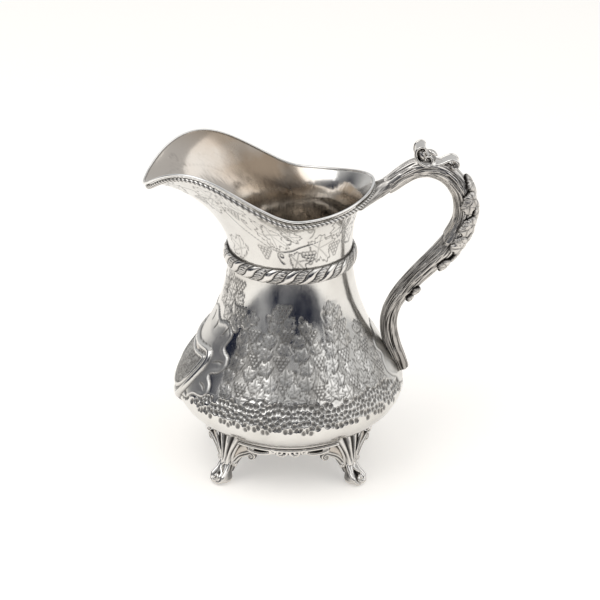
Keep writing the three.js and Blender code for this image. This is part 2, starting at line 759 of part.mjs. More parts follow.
// A C-scroll from the ankle of a foot to its neighbour apron, as points across the foot and up it.
const BRACKET_LINE = [
  [2.6, 7],
  [5, 13],
  [11, 21.6],
  [19, 26.6],
];

// A cast foot in the direction +X: a fluted knee that narrows to an ankle over a rolled toe. A margin is
// added all round it.
function footSolid(margin) {
  const front = FOOT_FLUTES * 2 + 1;
  const rings = FOOT_SECTIONS.map(([z, out, depth, width]) => {
    const face = range(front).map((j) => {
      const swing = (Math.PI / 2) * (j / FOOT_FLUTES - 1);
      const flute = z > 0 ? (j % 2 === 0 ? FLUTE_DEPTH : -FLUTE_DEPTH) : 0;
      const x = FOOT_RADIUS + out + (depth + margin) * Math.sqrt(Math.cos(swing * 0.98)) + flute;
      return new THREE.Vector3(x, (width + margin) * Math.sin(swing), z);
    });
    const rear = FOOT_RADIUS + out - depth - margin;
    const back = [0.7, -0.7].map((share) => new THREE.Vector3(rear, (width + margin) * share, z));
    return [...face, ...back];
  });
  const line = new THREE.SplineCurve(BRACKET_LINE.map(([x, y]) => v2(x, y))).getPoints(4);
  const [endX, endZ] = BRACKET_LINE.at(-1);
  const eye = v2(endX + 0.6, endZ - BRACKET_CURL_RADIUS);
  const curl = volute(eye, BRACKET_CURL_RADIUS, BRACKET_CURL_TURNS, Math.PI / 2);
  const radius = FOOT_RADIUS - BRACKET_SETBACK;
  const sheet = BRACKET_SHEET + 2 * margin;
  const bracket = (side) =>
    strip([...line, ...curl], sheet, BRACKET_DEPTH + 2 * margin, (along, height, across) =>
      polar(radius + across, (side * along) / radius, height),
    );
  return skin(rings).add(bracket(1)).add(bracket(-1));
}

// A place on an apron: distance along its arc, height, distance outside the arc. Its ends follow the bowl out
// and up.
const APRON_HALF = degToRad(APRON_HALF_SPAN) * APRON_RADIUS;
function onApron(along, z, out) {
  const sweep = (along / APRON_HALF) ** 2;
  const radius = APRON_RADIUS + out + APRON_FLARE * sweep;
  return polar(radius, along / APRON_RADIUS, z + APRON_RISE * sweep);
}

// The scalloped swag under the moulded bar, from its middle to one end.
const SWAG_LINE = [
  [0, 30.2],
  [1.8, 28.4],
  [5.4, 27],
  [9.2, 28.2],
  [11.4, 30.4],
  [16, 28],
  [21.5, 28.2],
  [26, 30.2],
];

// A cast apron in the direction +X: a moulded bar under the body with a swag of scrolls below it.
function apronSolid() {
  const steps = 8;
  const rings = range(steps + 1).map((i) => {
    const along = lerp(-APRON_HALF, APRON_HALF, i / steps);
    return [
      onApron(along, BELLY_HEIGHT, -APRON_DEPTH / 2),
      onApron(along, APRON_LOW, -APRON_DEPTH / 2),
      onApron(along, APRON_LOW, APRON_DEPTH * 0.3),
      onApron(along, APRON_LOW + APRON_BEAD, APRON_DEPTH * 0.8),
      onApron(along, APRON_LOW + 2 * APRON_BEAD, APRON_DEPTH / 2),
      onApron(along, BELLY_HEIGHT, APRON_DEPTH / 2),
    ];
  });
  const mirrored = SWAG_LINE.slice(1).map(([x, z]) => [-x, z]).reverse();
  const swag = new THREE.CatmullRomCurve3([...mirrored, ...SWAG_LINE].map(([x, z]) => onApron(x, z, 0)));
  const footRoom = footSolid(SEAT_GAP);
  return skin(rings)
    .add(tube(swag, [SWAG_RADIUS, SWAG_RADIUS], 12, 4))
    .subtract(footRoom.rotate([0, 0, FOOT_STEP / 2]))
    .subtract(footRoom.rotate([0, 0, -FOOT_STEP / 2]));
}

// Copies of a cast piece round the axis, from the first angle on, seated on the body.
function roundTheBase(names, solid, firstAngle) {
  return names.map((name, i) => {
    const turned = solid.rotate([0, 0, firstAngle + FOOT_STEP * i]).subtract(bodyRoom);
    return meshOf(name, mainBody(turned), CAST_SILVER);
  });
}

const FEET = ["foot_rear_far", "foot_front_far", "foot_front_near", "foot_rear_near"];
const APRONS = ["apron_rear", "apron_far", "apron_front", "apron_near"];
const jug = new THREE.Group();
jug.add(
  body(),
  bottomDisc(),
  neck(),
  rimRope(),
  rimEdge(),
  collarBand(),
  handle(),
  thumbScroll(),
  ...vineLeaves(),
  ...roundTheBase(FEET, footSolid(0), FOOT_STEP / 2),
  ...roundTheBase(APRONS, apronSolid(), 0),
);

// The part's origin is on the floor under the middle of its length.
const part = new THREE.Group();
jug.position.x = -new THREE.Box3().setFromObject(jug).getCenter(new THREE.Vector3()).x;
part.add(jug);

export default part;
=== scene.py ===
"""Looks of the silver jug: its raised and cast pieces, their finishes, the studio and the camera.

Shapes are worked out in millimetres round the jug's own axis, with the lip towards -X, the handle towards +X
and the near side towards -Y, and are put into the frame in metres when a piece is finished.
"""

import logging
import math
from dataclasses import dataclass
from enum import Enum
from functools import cached_property, partial
from itertools import zip_longest

import bmesh
import bpy
import numpy as np
from mathutils import Matrix, Vector


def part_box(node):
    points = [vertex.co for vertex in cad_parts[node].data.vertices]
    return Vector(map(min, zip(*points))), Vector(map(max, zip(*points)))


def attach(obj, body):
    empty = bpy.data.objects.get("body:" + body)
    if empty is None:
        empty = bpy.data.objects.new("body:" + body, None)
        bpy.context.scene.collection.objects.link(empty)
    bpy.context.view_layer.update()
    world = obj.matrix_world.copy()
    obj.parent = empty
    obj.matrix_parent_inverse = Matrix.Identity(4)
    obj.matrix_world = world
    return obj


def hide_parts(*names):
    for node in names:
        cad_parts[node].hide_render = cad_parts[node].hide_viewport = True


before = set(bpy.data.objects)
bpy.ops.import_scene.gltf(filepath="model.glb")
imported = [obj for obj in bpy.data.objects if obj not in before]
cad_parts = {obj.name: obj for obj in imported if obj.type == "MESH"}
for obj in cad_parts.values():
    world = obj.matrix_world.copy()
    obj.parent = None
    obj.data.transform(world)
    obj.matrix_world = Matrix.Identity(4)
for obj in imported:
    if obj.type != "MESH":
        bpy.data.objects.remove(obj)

LOG = logging.getLogger("silver_jug")
Array = np.ndarray
Values = Array | float
joined = partial(np.stack, axis=-1)
TAU = 2 * math.pi
MM = 0.001
TINY = 1e-9
FAR_MM = 60.0
SEAT_GAP = 0.3
MERGE_DISTANCE = 1e-7
QUARTER_BEND = 0.5523
LAYERS = ("oxide", "inside", "matted")
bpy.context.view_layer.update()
DISC_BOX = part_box("bottom_disc")
AXIS_X = (DISC_BOX[0][0] + DISC_BOX[1][0]) / 2


def bezier(ends: list, t: Array) -> Array:
    """Places on a cubic curve.

    Args:
        ends: its four control points, each one point or an array of points.
        t: shares of the way along it.

    Returns:
        The places, with a last axis for the coordinates.
    """
    t = np.asarray(t, float)[..., None]
    p, q, r, s = (np.asarray(end, float) for end in ends)
    return (1 - t) ** 3 * p + 3 * (1 - t) ** 2 * t * q + 3 * (1 - t) * t**2 * r + t**3 * s


def smooth_line(points: list | tuple, steps: int) -> Array:
    """A smooth line through a few points.

    Args:
        points: the points that it passes, of two or three numbers each.
        steps: places between each two of them.

    Returns:
        The line's places.
    """
    p = np.asarray(points, float)
    p = np.vstack([2 * p[0] - p[1], p, 2 * p[-1] - p[-2]])
    t = np.linspace(0, 1, steps, endpoint=False)
    spans = [bezier([b, b + (c - a) / 6, c - (d - b) / 6, c], t) for a, b, c, d in zip(p, p[1:], p[2:], p[3:])]
    return np.vstack([*spans, p[-2:-1]])


def clamped(values: Values) -> Array:
    """Values held between 0 and 1."""
    return np.clip(values, 0, 1)


def bell(distance: Array, width: float) -> Array:
    """A soft bump of height 1 that fades over a width."""
    return np.exp(-((distance / width) ** 2))


def within(distance: Array, soft: float) -> Array:
    """1 inside an edge and 0 outside it, for signed distances from it, over a soft width."""
    return clamped(0.5 - distance / soft)


def unit(vectors: Array) -> Array:
    """Vectors made of length 1."""
    return vectors / np.maximum(np.linalg.norm(vectors, axis=-1, keepdims=True), TINY)


def lengths_along(line: Array) -> Array:
    """Length along a line up to each of its places."""
    return np.concatenate([[0], np.cumsum(np.linalg.norm(np.diff(line, axis=0), axis=1))])


def half_turn(angle: Array) -> Array:
    """Angles brought to between minus and plus half a turn."""
    return (angle + math.pi) % TAU - math.pi


def ringed(radius: Values, angle: Values, height: Values) -> Array:
    """Places at distances from the jug's axis, angles from the handle and heights."""
    radius, angle, height = np.broadcast_arrays(radius, angle, height)
    return joined([radius * np.cos(angle), radius * np.sin(angle), height])


def wander(angle: Array, waves: int, seed: int) -> Array:
    """A slow, seeded wander between about -1 and 1 that repeats over each turn.

    Args:
        angle: angles in radians.
        waves: the finest wave in a turn.
        seed: picks the wander.

    Returns:
        Its value at each angle.
    """
    rng = np.random.default_rng(seed)
    total = np.zeros_like(angle, dtype=float)
    for k in range(1, waves + 1):
        total += rng.normal() * np.cos(k * angle + rng.uniform(0, TAU))
    return total / math.sqrt(waves)


def loop_distance(x: Array, y: Array, loop: Array) -> Array:
    """Distance of places from a closed outline, negative inside it.

    Args:
        x: the places' first coordinate.
        y: their second coordinate.
        loop: the outline's points, the last equal to the first.

    Returns:
        The distance of each place.
    """
    nearest = np.full(x.shape, np.inf)
    inside = np.zeros(x.shape, bool)
    for (ax, ay), (bx, by) in zip(loop, loop[1:]):
        dx, dy = bx - ax, by - ay
        share = clamped(((x - ax) * dx + (y - ay) * dy) / max(dx * dx + dy * dy, TINY))
        nearest = np.minimum(nearest, np.hypot(x - ax - share * dx, y - ay - share * dy))
        crossed = (ay > y) != (by > y)
        inside ^= crossed & (x < ax + (y - ay) * dx / (dy if dy else TINY))
    return np.where(inside, -nearest, nearest)


# Direction and length of a vine leaf's lobes, and the teeth along its edge
LEAF_LOBES = ((0.0, 1.0), (1.05, 0.86), (-1.05, 0.86), (2.1, 0.64), (-2.1, 0.64))
LOBE_SHARPNESS = 2.3
LEAF_TEETH = 21
LEAF_TOOTH = 0.11


def leaf_form(along: Array, across: Array, lobing: float = 0.55) -> tuple[Array, Array, Array]:
    """A five-lobed vine leaf of length 1, its tip towards +along.

    Args:
        along: distance from the leaf's root towards its tip.
        across: distance sideways.
        lobing: how deeply it is cut between the lobes.

    Returns:
        How far out each place lies as a share of the leaf's edge there, the edge's own distance, and the
        distance from the nearest vein.
    """
    turn = np.arctan2(across, along)
    reach = np.hypot(along, across)
    edge = np.zeros_like(reach)
    vein = np.full_like(reach, np.inf)
    for lobe, length in LEAF_LOBES:
        off = half_turn(turn - lobe)
        notch = np.cos(np.clip(LOBE_SHARPNESS * off, -math.pi / 2, math.pi / 2))
        edge = np.maximum(edge, length * (1 - lobing + lobing * notch))
        vein = np.minimum(vein, np.where(np.cos(off) > 0, np.abs(reach * np.sin(off)), reach))
    edge = edge * (1 + LEAF_TOOTH * lobing * np.cos(LEAF_TEETH * turn))
    return reach / edge, edge, vein


def node(
    tree: bpy.types.NodeTree, kind: str, inputs: dict | None = None, output: int | str = 0, **settings: object
) -> bpy.types.NodeSocket | None:
    """Adds a shader node.

    Args:
        tree: the node tree.
        kind: the node's type, without the ShaderNode that all of them start with.
        inputs: input name or number to its value, or to the output socket that feeds it.
        output: name or number of the output that is wanted.
        settings: properties of the node.

    Returns:
        That output, or None from a node that ends the tree.
    """
    made = tree.nodes.new(f"ShaderNode{kind}")
    for name, value in settings.items():
        setattr(made, name, value)
    for key, value in (inputs or {}).items():
        if isinstance(value, bpy.types.NodeSocket):
            tree.links.new(value, made.inputs[key])
        else:
            made.inputs[key].default_value = value
    return made.outputs[output] if made.outputs else None


def nodes_of(owner: bpy.types.Material | bpy.types.World) -> partial:
    """Empties the node tree of a material or world, and hands out node() for it."""
    owner.use_nodes = True
    owner.node_tree.nodes.clear()
    return partial(node, owner.node_tree)


def placed(name: str, data: bpy.types.ID) -> bpy.types.Object:
    """Puts a new object into the scene."""
    made = bpy.data.objects.new(name, data)
    bpy.context.scene.collection.objects.link(made)
    return made


def linear(hex_colour: str) -> tuple[float, float, float, float]:
    """Linear colour of an sRGB hex value such as "c0c0c0"."""
    parts = [int(hex_colour[i : i + 2], 16) / 255 for i in (0, 2, 4)]
    return (*(c / 12.92 if c <= 0.04045 else ((c + 0.055) / 1.055) ** 2.4 for c in parts), 1.0)


# Sockets of a Mix node that mixes colours
FACTOR, FIRST, SECOND, MIXED = 0, 6, 7, 2


@dataclass(frozen=True)
class SilverFinish:
    """Sterling silver, worked by hand and left to darken where a cloth can't reach.

    The metal is bright and slightly warm, the sulphide in its recesses is a matt brown-grey, and years of
    polishing leave fine scratches and a soft waviness that bends the reflections. The scratches and punch marks
    are coarser than on the real metal, so that they show. The same matt brown-grey, read from each piece's oxide,
    also paints shade in some places, and the inside's tone also paints dark reflections inside the neck.
    """

    name: str
    slot: str
    bright: str = "e0deda"
    tarnish: str = "c6c2bc"
    oxide: str = "3a3632"
    inside: str = "a5937f"
    shine: float = 0.12
    matt: float = 0.5
    cloud_mm: float = 26.0
    cloud_film: float = 0.8
    scratch_mm: float = 0.8
    scratch_stretch: tuple = (1.0, 1.0, 0.15)
    scratch_depth_mm: float = 0.05
    scratch_bump: float = 0.08
    scratch_wear: float = 0.07
    wave_mm: float = 12.0
    wave_depth_mm: float = 0.06
    punch_mm: float = 1.5
    punch_tone: float = 0.45
    punch_rough: float = 0.3

    def material(self) -> bpy.types.Material:
        """Makes the finish's material once, and hands it out again.

        Returns:
            The node material, which reads the piece's own oxide, inside and matted attributes.
        """
        if self.name in bpy.data.materials:
            return bpy.data.materials[self.name]
        made = bpy.data.materials.new(self.name)
        add = nodes_of(made)
        place = add("TexCoord", output="Object")
        drawn = add("Mapping", {"Vector": place, "Scale": self.scratch_stretch})
        lain, inside, matted = (add("Attribute", output="Fac", attribute_name=layer) for layer in LAYERS)
        cloud, scratch, wave = (
            add("TexNoise", {"Vector": where, "Scale": 1 / (grain * MM), "Detail": detail}, "Fac")
            for where, grain, detail in (
                (place, self.cloud_mm, 4.0), (drawn, self.scratch_mm, 2.0), (place, self.wave_mm, 1.0)
            )
        )
        punch = add("TexVoronoi", {"Vector": place, "Scale": 1 / (self.punch_mm * MM)})
        mark, ground, film, worn = (
            add("MapRange", dict(enumerate(span)))
            for span in (
                (punch, 0.3, 0.5, self.punch_tone, 0.0), (matted, 0.5, 0.9, 0.0, 1.0),
                (cloud, 0.42, 0.8, 0.0, self.cloud_film), (scratch, 0.3, 0.7, 0.0, self.scratch_wear),
            )
        )
        marked = add("Math", {0: mark, 1: ground}, operation="MULTIPLY")
        oxide = add("Math", {0: lain, 1: marked}, operation="MAXIMUM")
        sheen = add("MapRange", dict(enumerate((oxide, 0.0, 1.0, self.shine, self.matt))))
        polish = add("Math", {0: sheen, 1: worn}, operation="ADD")
        rough = add("Math", {0: matted, 1: self.punch_rough, 2: polish}, operation="MULTIPLY_ADD")
        colour = linear(self.bright)
        for share, tone in ((inside, self.inside), (film, self.tarnish), (oxide, self.oxide)):
            colour = add("Mix", {FACTOR: share, FIRST: colour, SECOND: linear(tone)}, MIXED, data_type="RGBA")
        fine = add("Bump", {"Height": scratch, "Strength": self.scratch_bump, "Distance": self.scratch_depth_mm * MM})
        bent = add("Bump", {"Height": wave, "Strength": 1.0, "Distance": self.wave_depth_mm * MM, "Normal": fine})
        shader = add("BsdfPrincipled", {"Base Color": colour, "Metallic": 1.0, "Roughness": rough, "Normal": bent})
        add("OutputMaterial", {"Surface": shader})
        return made


# Hammered and polished sheet: broad, slightly bent reflections between the chased work
SHEET = SilverFinish("chased_silver_sheet", "raised_silver")
# Sand-cast branch: greyer and less smooth, with black left in the bark's furrows
CAST = SilverFinish(
    "cast_oxidised_silver", "cast_silver", bright="dad6d1", tarnish="b3ada6", oxide="26221f", shine=0.17, wave_mm=5.0
)
# Cast leaves: a soft, nearly matt grey that shows their ribs
LEAFY = SilverFinish(
    "cast_leaf_silver", "cast_silver", bright="dcd8d3", tarnish="b6b0a9", oxide="2b2725", shine=0.22, matt=0.55,
    wave_mm=5.0,
)
# Twisted wire: bright strands with dark lines between them
WIRE = SilverFinish("twisted_silver_wire", "rope_silver", bright="dedbd7", oxide="2e2b29", shine=0.16)
# Castings gone over with a graver: crisp bright edges beside dark grooves
CARVED = SilverFinish("carved_silver_band", "cast_silver", bright="e4e1dd", oxide="2e2b29", shine=0.13)
# Plain wire that hands and cloths keep polished: one clean bright line
BRIGHT = SilverFinish("polished_silver_wire", "edge_silver", bright="f0efed", tarnish="dedbd7", shine=0.09)


class Piece:
    """A visible piece, gathered from closed shells that are each a grid bent to its places."""

    def __init__(self, name: str) -> None:
        """Starts an empty piece of that name."""
        self.name = name
        self.work = bmesh.new()

    def shell(self, places: Array, *layers: Values) -> None:
        """Adds a shell.

        Args:
            places: its places in millimetres, by column and row; places that coincide are merged, so that a
                seam closes and a row at one point becomes a pole.
            layers: how dark each place is with oxide, which in some places is painted shade, how much of the inside's
                tone it has, which inside the neck is partly a painted dark reflection, and how much of a punched mat,
                each from 0 to 1 and 0 where it isn't given.
        """
        columns, rows = places.shape[:2]
        grid = bmesh.new()
        bmesh.ops.create_grid(grid, x_segments=columns - 1, y_segments=rows - 1, size=0.5)
        mesh = bpy.data.meshes.new(self.name)
        grid.to_mesh(mesh)
        metres = places.transpose(1, 0, 2) * MM + np.array([AXIS_X, 0, 0])
        mesh.vertices.foreach_set("co", metres.astype(np.float32).ravel())
        for title, values in zip_longest(LAYERS, layers, fillvalue=0.0):
            spread = np.broadcast_to(clamped(values), (columns, rows)).T
            layer = mesh.attributes.new(title, "FLOAT", "POINT")
            layer.data.foreach_set("value", spread.astype(np.float32).ravel())
        grid.clear()
        grid.from_mesh(mesh)
        bmesh.ops.remove_doubles(grid, verts=grid.verts, dist=MERGE_DISTANCE)
        bmesh.ops.recalc_face_normals(grid, faces=grid.faces)
        grid.to_mesh(mesh)
        grid.free()
        self.work.from_mesh(mesh)
        bpy.data.meshes.remove(mesh)

    def turned(self, degrees: float) -> None:
        """Turns the piece round the jug's axis."""
        turn = Matrix.Rotation(math.radians(degrees), 3, "Z")
        bmesh.ops.rotate(self.work, verts=self.work.verts, cent=(AXIS_X, 0, 0), matrix=turn)

    def finish(self, finish: SilverFinish, *nodes: str) -> None:
        """Makes the object, which rides on the jug.

        Args:
            finish: the metal's finish.
            nodes: the CAD nodes that it stands for.
        """
        mesh = bpy.data.meshes.new(self.name)
        self.work.to_mesh(mesh)
        self.work.free()
        mesh.shade_smooth()
        mesh.materials.append(finish.material())
        made = placed(self.name, mesh)
        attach(made, "root")
        if nodes:
            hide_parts(*nodes)
        LOG.info("%s: %d faces", self.name, len(mesh.polygons))


def capped(rings: Array, middles: Array) -> Array:
    """Rings of places, closed at either end by the first and the last of their middles."""
    ends = [np.broadcast_to(middles[i], rings[:1].shape) for i in (0, -1)]
    return np.concatenate([ends[0], rings, ends[1]])


def sweep(path: Array, first: Array, second: Array, section: Array, scale: Values = 1.0) -> Array:
    """A section carried along a path, with both ends closed.

    Args:
        path: the path's places.
        first: direction at each place for the section's first coordinate.
        second: direction for its second coordinate.
        section: the section's closed outline, its last point equal to the first.
        scale: size of the section at each place.

    Returns:
        The places of a shell, by place on the path and point of the section.
    """
    scale = np.broadcast_to(scale, len(path))[:, None, None]
    spread = section[None, :, :1] * first[:, None] + section[None, :, 1:] * second[:, None]
    rings = path[:, None] + scale * spread
    return capped(rings, rings.mean(axis=1))


def round_section(sides: int = 14) -> Array:
    """A round section of radius 1, its last point equal to its first."""
    turn = np.linspace(0, TAU, sides + 1)
    return joined([np.cos(turn), np.sin(turn)])


def eased(count: int, *knots: tuple[float, float]) -> Array:
    """Values spread evenly over a number of places, straight between knots of share and value."""
    return np.interp(np.linspace(0, 1, count), *zip(*knots))


def left_normals(line: Array) -> Array:
    """Left-hand normals of a flat line."""
    tangent = unit(np.gradient(line, axis=0))
    return joined([-tangent[:, 1], tangent[:, 0]])


def volute(centre: tuple, rim: float, eye: float, start: float, turns: float, steps: int) -> Array:
    """A flat spiral that winds in from its rim.

    Args:
        centre: its middle.
        rim: radius where it starts.
        eye: radius where it ends.
        start: angle where it starts, in radians.
        turns: how many times it goes round, negative for clockwise.
        steps: places along it.

    Returns:
        Its places.
    """
    u = np.linspace(0, 1, steps)
    angle = start + TAU * turns * u
    radius = rim + (eye - rim) * u**0.8
    return joined([centre[0] + radius * np.cos(angle), centre[1] + radius * np.sin(angle)])


@dataclass
class BodyForm:
    """The pear shape of the body's sheet."""

    wall: float = 1.2
    belly_radius: float = 78.0
    belly_height: float = 56.5
    belly_shoulder: float = 14.0
    belly_turn: float = 12.5
    bottom_radius: float = 34.0
    bottom_height: float = 26.5
    bottom_kick: float = 2.5
    bowl_radius: float = 58.0
    bowl_height: float = 31.0
    waist_radius: float = 41.4
    waist_height: float = 151.5
    waist_sweep: float = 55.0
    waist_flare: float = 2.2
    curve_points: int = 300

    @cached_property
    def outline(self) -> Array:
        """Works out the outline.

        Returns:
            Radius and height along the outside, from the bottom edge to the waist.
        """
        girth, belly = self.belly_radius, self.belly_height
        bottom, bowl = (self.bottom_radius, self.bottom_height), (self.bowl_radius, self.bowl_height)
        waist = (self.waist_radius, self.waist_height)
        sweep_in = (self.waist_radius + self.waist_flare, self.waist_height - self.waist_sweep)
        u = np.linspace(0, 1, self.curve_points)
        low = bezier([bottom, bowl, (girth, belly - self.belly_turn), (girth, belly)], u[:-1])
        return np.vstack([low, bezier([(girth, belly), (girth, belly + self.belly_shoulder), sweep_in, waist], u)])

    @cached_property
    def slants(self) -> Array:
        """Length along the outline up to each of its points."""
        return lengths_along(self.outline)

    def slant_at(self, height: Values) -> Array:
        """Length along the outline up to a height."""
        return np.interp(height, self.outline[:, 1], self.slants)

    def radius_at(self, height: Values) -> Array:
        """Outside radius at a height."""
        return np.interp(height, self.outline[:, 1], self.outline[:, 0])

    def places(self, around: Array, slant: Array, out: Values) -> Array:
        """Places on the sheet.

        Args:
            around: angles from the lip towards the near side.
            slant: lengths along the outline.
            out: distances outside the sheet.

        Returns:
            The places.
        """
        tangent = np.gradient(self.outline, self.slants, axis=0)
        measures = (*self.outline.T, *tangent.T)
        radius, height, rise, lean = (np.interp(slant, self.slants, measure) for measure in measures)
        return ringed(-(radius + out * lean), around, height - out * rise)

    def under(self, places: Array) -> Array:
        """Places brought down to the underside of the bowl where they would reach into it.

        Args:
            places: the places.

        Returns:
            The places, clear of the bowl.
        """
        low = self.outline[: self.curve_points]
        reach = np.hypot(places[..., 0], places[..., 1])
        seat = np.interp(reach, low[:, 0], low[:, 1]) - SEAT_GAP
        return np.concatenate([places[..., :2], np.minimum(places[..., 2], seat)[..., None]], axis=-1)


@dataclass
class NeckForm:
    """The flared neck and the mouth, whose rim rises and falls round it."""

    body: BodyForm
    collar_height: float = 10.0
    rim_centre: float = -15.0
    lip_reach: float = 80.5
    heel_reach: float = 69.6
    half_width: float = 52.2
    heights: tuple = (201.4, 192.2, 219.8, 200.2)
    angles: tuple = (0, math.radians(71), math.radians(127), math.pi)
    straight: float = 0.52
    flare_reach: float = 9.0
    flare_drop: float = 12.0
    lip_flare_reach: float = 22.0
    lip_flare_drop: float = -2.3
    lip_sharpness: float = 6.0

    def rim_height(self, angle: Array) -> Array:
        """Height of the rim, easing between its high and low places.

        Args:
            angle: angles from the handle.

        Returns:
            The height at each angle.
        """
        away = np.abs(half_turn(angle))
        i = np.clip(np.searchsorted(self.angles, away, side="right") - 1, 0, len(self.angles) - 2)
        starts, levels = np.array(self.angles), np.array(self.heights)
        share = (away - starts[i]) / (starts[i + 1] - starts[i])
        return levels[i] + (levels[i + 1] - levels[i]) * (1 - np.cos(math.pi * share)) / 2

    def place(self, angle: Array, share: Array) -> Array:
        """Places on the outside of the neck.

        Args:
            angle: angles from the handle, anticlockwise from above.
            share: shares of the way from the collar to the rim.

        Returns:
            The places.
        """
        angle, share = np.broadcast_arrays(angle, share)
        cosine, sine = np.cos(angle), np.sin(angle)
        reach = np.where(cosine < 0, self.lip_reach, self.heel_reach)
        rim = joined([self.rim_centre + reach * cosine, self.half_width * sine, self.rim_height(angle)])
        out = unit(joined([cosine / reach, sine / self.half_width, 0 * sine]))
        lip = ((1 - cosine) / 2) ** self.lip_sharpness
        low = self.body.waist_height + self.collar_height / 2
        base = ringed(self.body.waist_radius, angle, low)
        upright = base.copy()
        upright[..., 2] = low + (rim[..., 2] - low) * self.straight
        flare = rim - out * (self.flare_reach + (self.lip_flare_reach - self.flare_reach) * lip)[..., None]
        flare[..., 2] -= self.flare_drop + (self.lip_flare_drop - self.flare_drop) * lip
        return bezier([base, upright, flare, rim], share)

    def frames(self, angle: Array, share: Array) -> tuple[Array, Array, Array]:
        """Places on the neck with the directions out of the sheet and up it.

        Args:
            angle: angles from the handle.
            share: shares of the way from the collar to the rim.

        Returns:
            The places, the directions out and the directions up.
        """
        angle, share = np.broadcast_arrays(np.asarray(angle, float), np.asarray(share, float))
        step = 0.004
        low = np.clip(share - step / 2, 0, 1 - step)
        up = unit(self.place(angle, low + step) - self.place(angle, low))
        along = unit(self.place(angle + step, share) - self.place(angle - step, share))
        out = unit(np.cross(along, up))
        return self.place(angle, share), out, np.cross(out, along)


class Work(Enum):
    """How a motif is worked into the sheet."""

    CHASED = "pushed up a little and outlined with a tracer"
    CUT = "cut as fine lines"


class Chasing:
    """Relief and oxide worked into a sheet, on a grid of columns round it and rows up it.

    Widths, depths and rises are in millimetres, and tones run from 0, bright, to 1, fully oxidised. A place is an
    angle from the lip towards the near side and a length up the sheet.
    """

    line_width = 0.5
    soft_edge = 0.8
    ground_rise = 0.08
    leaf_window = 1.15
    leaf_rise = 0.24
    leaf_mat = 0.34
    leaf_cut = 0.1
    leaf_cut_tone = 0.74
    rib_width = 0.45
    rib_end = 0.9
    rib_depth = 0.12
    rib_tone = 0.6
    rib_cut = 0.06
    rib_cut_tone = 0.36
    hatch_pitch = 1.5
    hatch_tone = 0.1
    outline_off = 0.3
    outline_width = 0.6
    outline_depth = 0.1
    outline_tone = 0.82
    berry_window = 1.6
    berry_soft = 0.6
    berry_rise = 0.26
    berry_mat = 0.25
    berry_tones = (0.02, 0.3, 0.8)
    berry_cut = 0.08
    berry_cut_tone = 0.55
    bunch_pitch = 1.85
    bunch_drop = 1.6
    bunch_jitter = 0.2
    stem_rise = 0.25
    stem_tone = 0.1
    stem_outline_tone = 0.45
    stem_cut = 0.12
    tendril_width = 0.45
    tendril_stem = ((0, 0), (0.35, 0.25), (0.6, 0.75))
    tendril_curl = ((0.25, 0.95), 0.4, 0.1, -0.5, 1.3, 16)
    pit_rise = 1.02
    pit_jitter = (0.3, 0.42)
    pit_stretch = 1.2
    pit_reach = 0.58
    pit_ridge = 0.6
    pit_ridge_rise = 0.12
    pit_wall = 0.9
    pit_depth = 0.7
    pit_tone = 0.74

    def __init__(self, around: Array, up: Array, radius: Array, seed: int) -> None:
        """Starts a plain sheet.

        Args:
            around: the columns' angles from the lip towards the near side.
            up: the rows' lengths up the sheet.
            radius: the rows' radii.
            seed: picks the small irregularities.
        """
        self.around, self.up, self.radius = around, up, radius
        self.height, self.oxide, self.matted = np.zeros((3, len(around), len(up)))
        self.rng = np.random.default_rng(seed)

    def scale(self, place: tuple) -> tuple[float, float]:
        """Millimetres on the sheet, near a place, for each radian round it and each step up it."""
        return float(np.interp(place[1], self.up, self.radius)), 1.0

    def window(self, place: tuple, reach: float) -> tuple[tuple, Array, Array]:
        """The part of the sheet near a place.

        Args:
            place: the place.
            reach: half the window's size.

        Returns:
            The window's index, and distances from the place along the sheet's turn and up it.
        """
        around, up = place
        wide, tall = self.scale(place)
        turn = half_turn(self.around - around)
        columns = np.flatnonzero(np.abs(turn) * wide < reach)
        rows = np.flatnonzero(np.abs(self.up - up) * tall < reach)
        x, y = np.broadcast_arrays(turn[columns, None] * wide, (self.up[None, rows] - up) * tall)
        return np.ix_(columns, rows), x, y

    def lay(self, spot: tuple, cover: Array, height: Values, oxide: Values, matted: float | None = None) -> None:
        """Covers a window with a motif.

        Args:
            spot: the window's index.
            cover: how much of each place the motif covers.
            height: the motif's height.
            oxide: its tone.
            matted: how matted it is, or None where that stays.
        """
        for layer, value in ((self.height, height), (self.oxide, oxide), (self.matted, matted)):
            if value is not None:
                layer[spot] += cover * (value - layer[spot])

    def trace(self, spot: tuple, depth: Values, tone: Array, kept: Values = 1.0) -> None:
        """Sinks lines into a window and darkens them, where the oxide that is kept isn't darker."""
        self.height[spot] -= depth
        self.oxide[spot] = np.maximum(self.oxide[spot] * kept, tone)

    def leaf(self, place: tuple, size: float, turn: float, work: Work) -> None:
        """Works a vine leaf.

        Args:
            place: its root.
            size: its length.
            turn: direction of its tip, in radians from level.
            work: how it is worked.
        """
        spot, x, y = self.window(place, size * self.leaf_window)
        along = (x * math.cos(turn) + y * math.sin(turn)) / size
        across = (y * math.cos(turn) - x * math.sin(turn)) / size
        share, edge, vein = leaf_form(along, across)
        off_edge = (share - 1) * edge * size
        rib = bell(vein * size, self.rib_width) * (share < self.rib_end)
        if work is Work.CUT:
            rim = bell(off_edge, self.line_width)
            tone = np.maximum(self.leaf_cut_tone * rim, self.rib_cut_tone * rib)
            self.trace(spot, np.maximum(self.leaf_cut * rim, self.rib_cut * rib), tone, share > 1)
            return
        dome = np.sqrt(clamped(1 - share**2))
        hatch = 0.5 + 0.5 * np.cos(TAU * np.hypot(x, y) / self.hatch_pitch)
        height = self.ground_rise + self.leaf_rise * dome - self.rib_depth * rib
        tone = self.rib_tone * rib + self.hatch_tone * hatch * share**2
        self.lay(spot, within(off_edge, self.soft_edge), height, tone, self.leaf_mat)
        off_line = off_edge - self.outline_off
        tone = self.outline_tone * bell(off_line, self.line_width)
        self.trace(spot, self.outline_depth * bell(off_line, self.outline_width), tone)

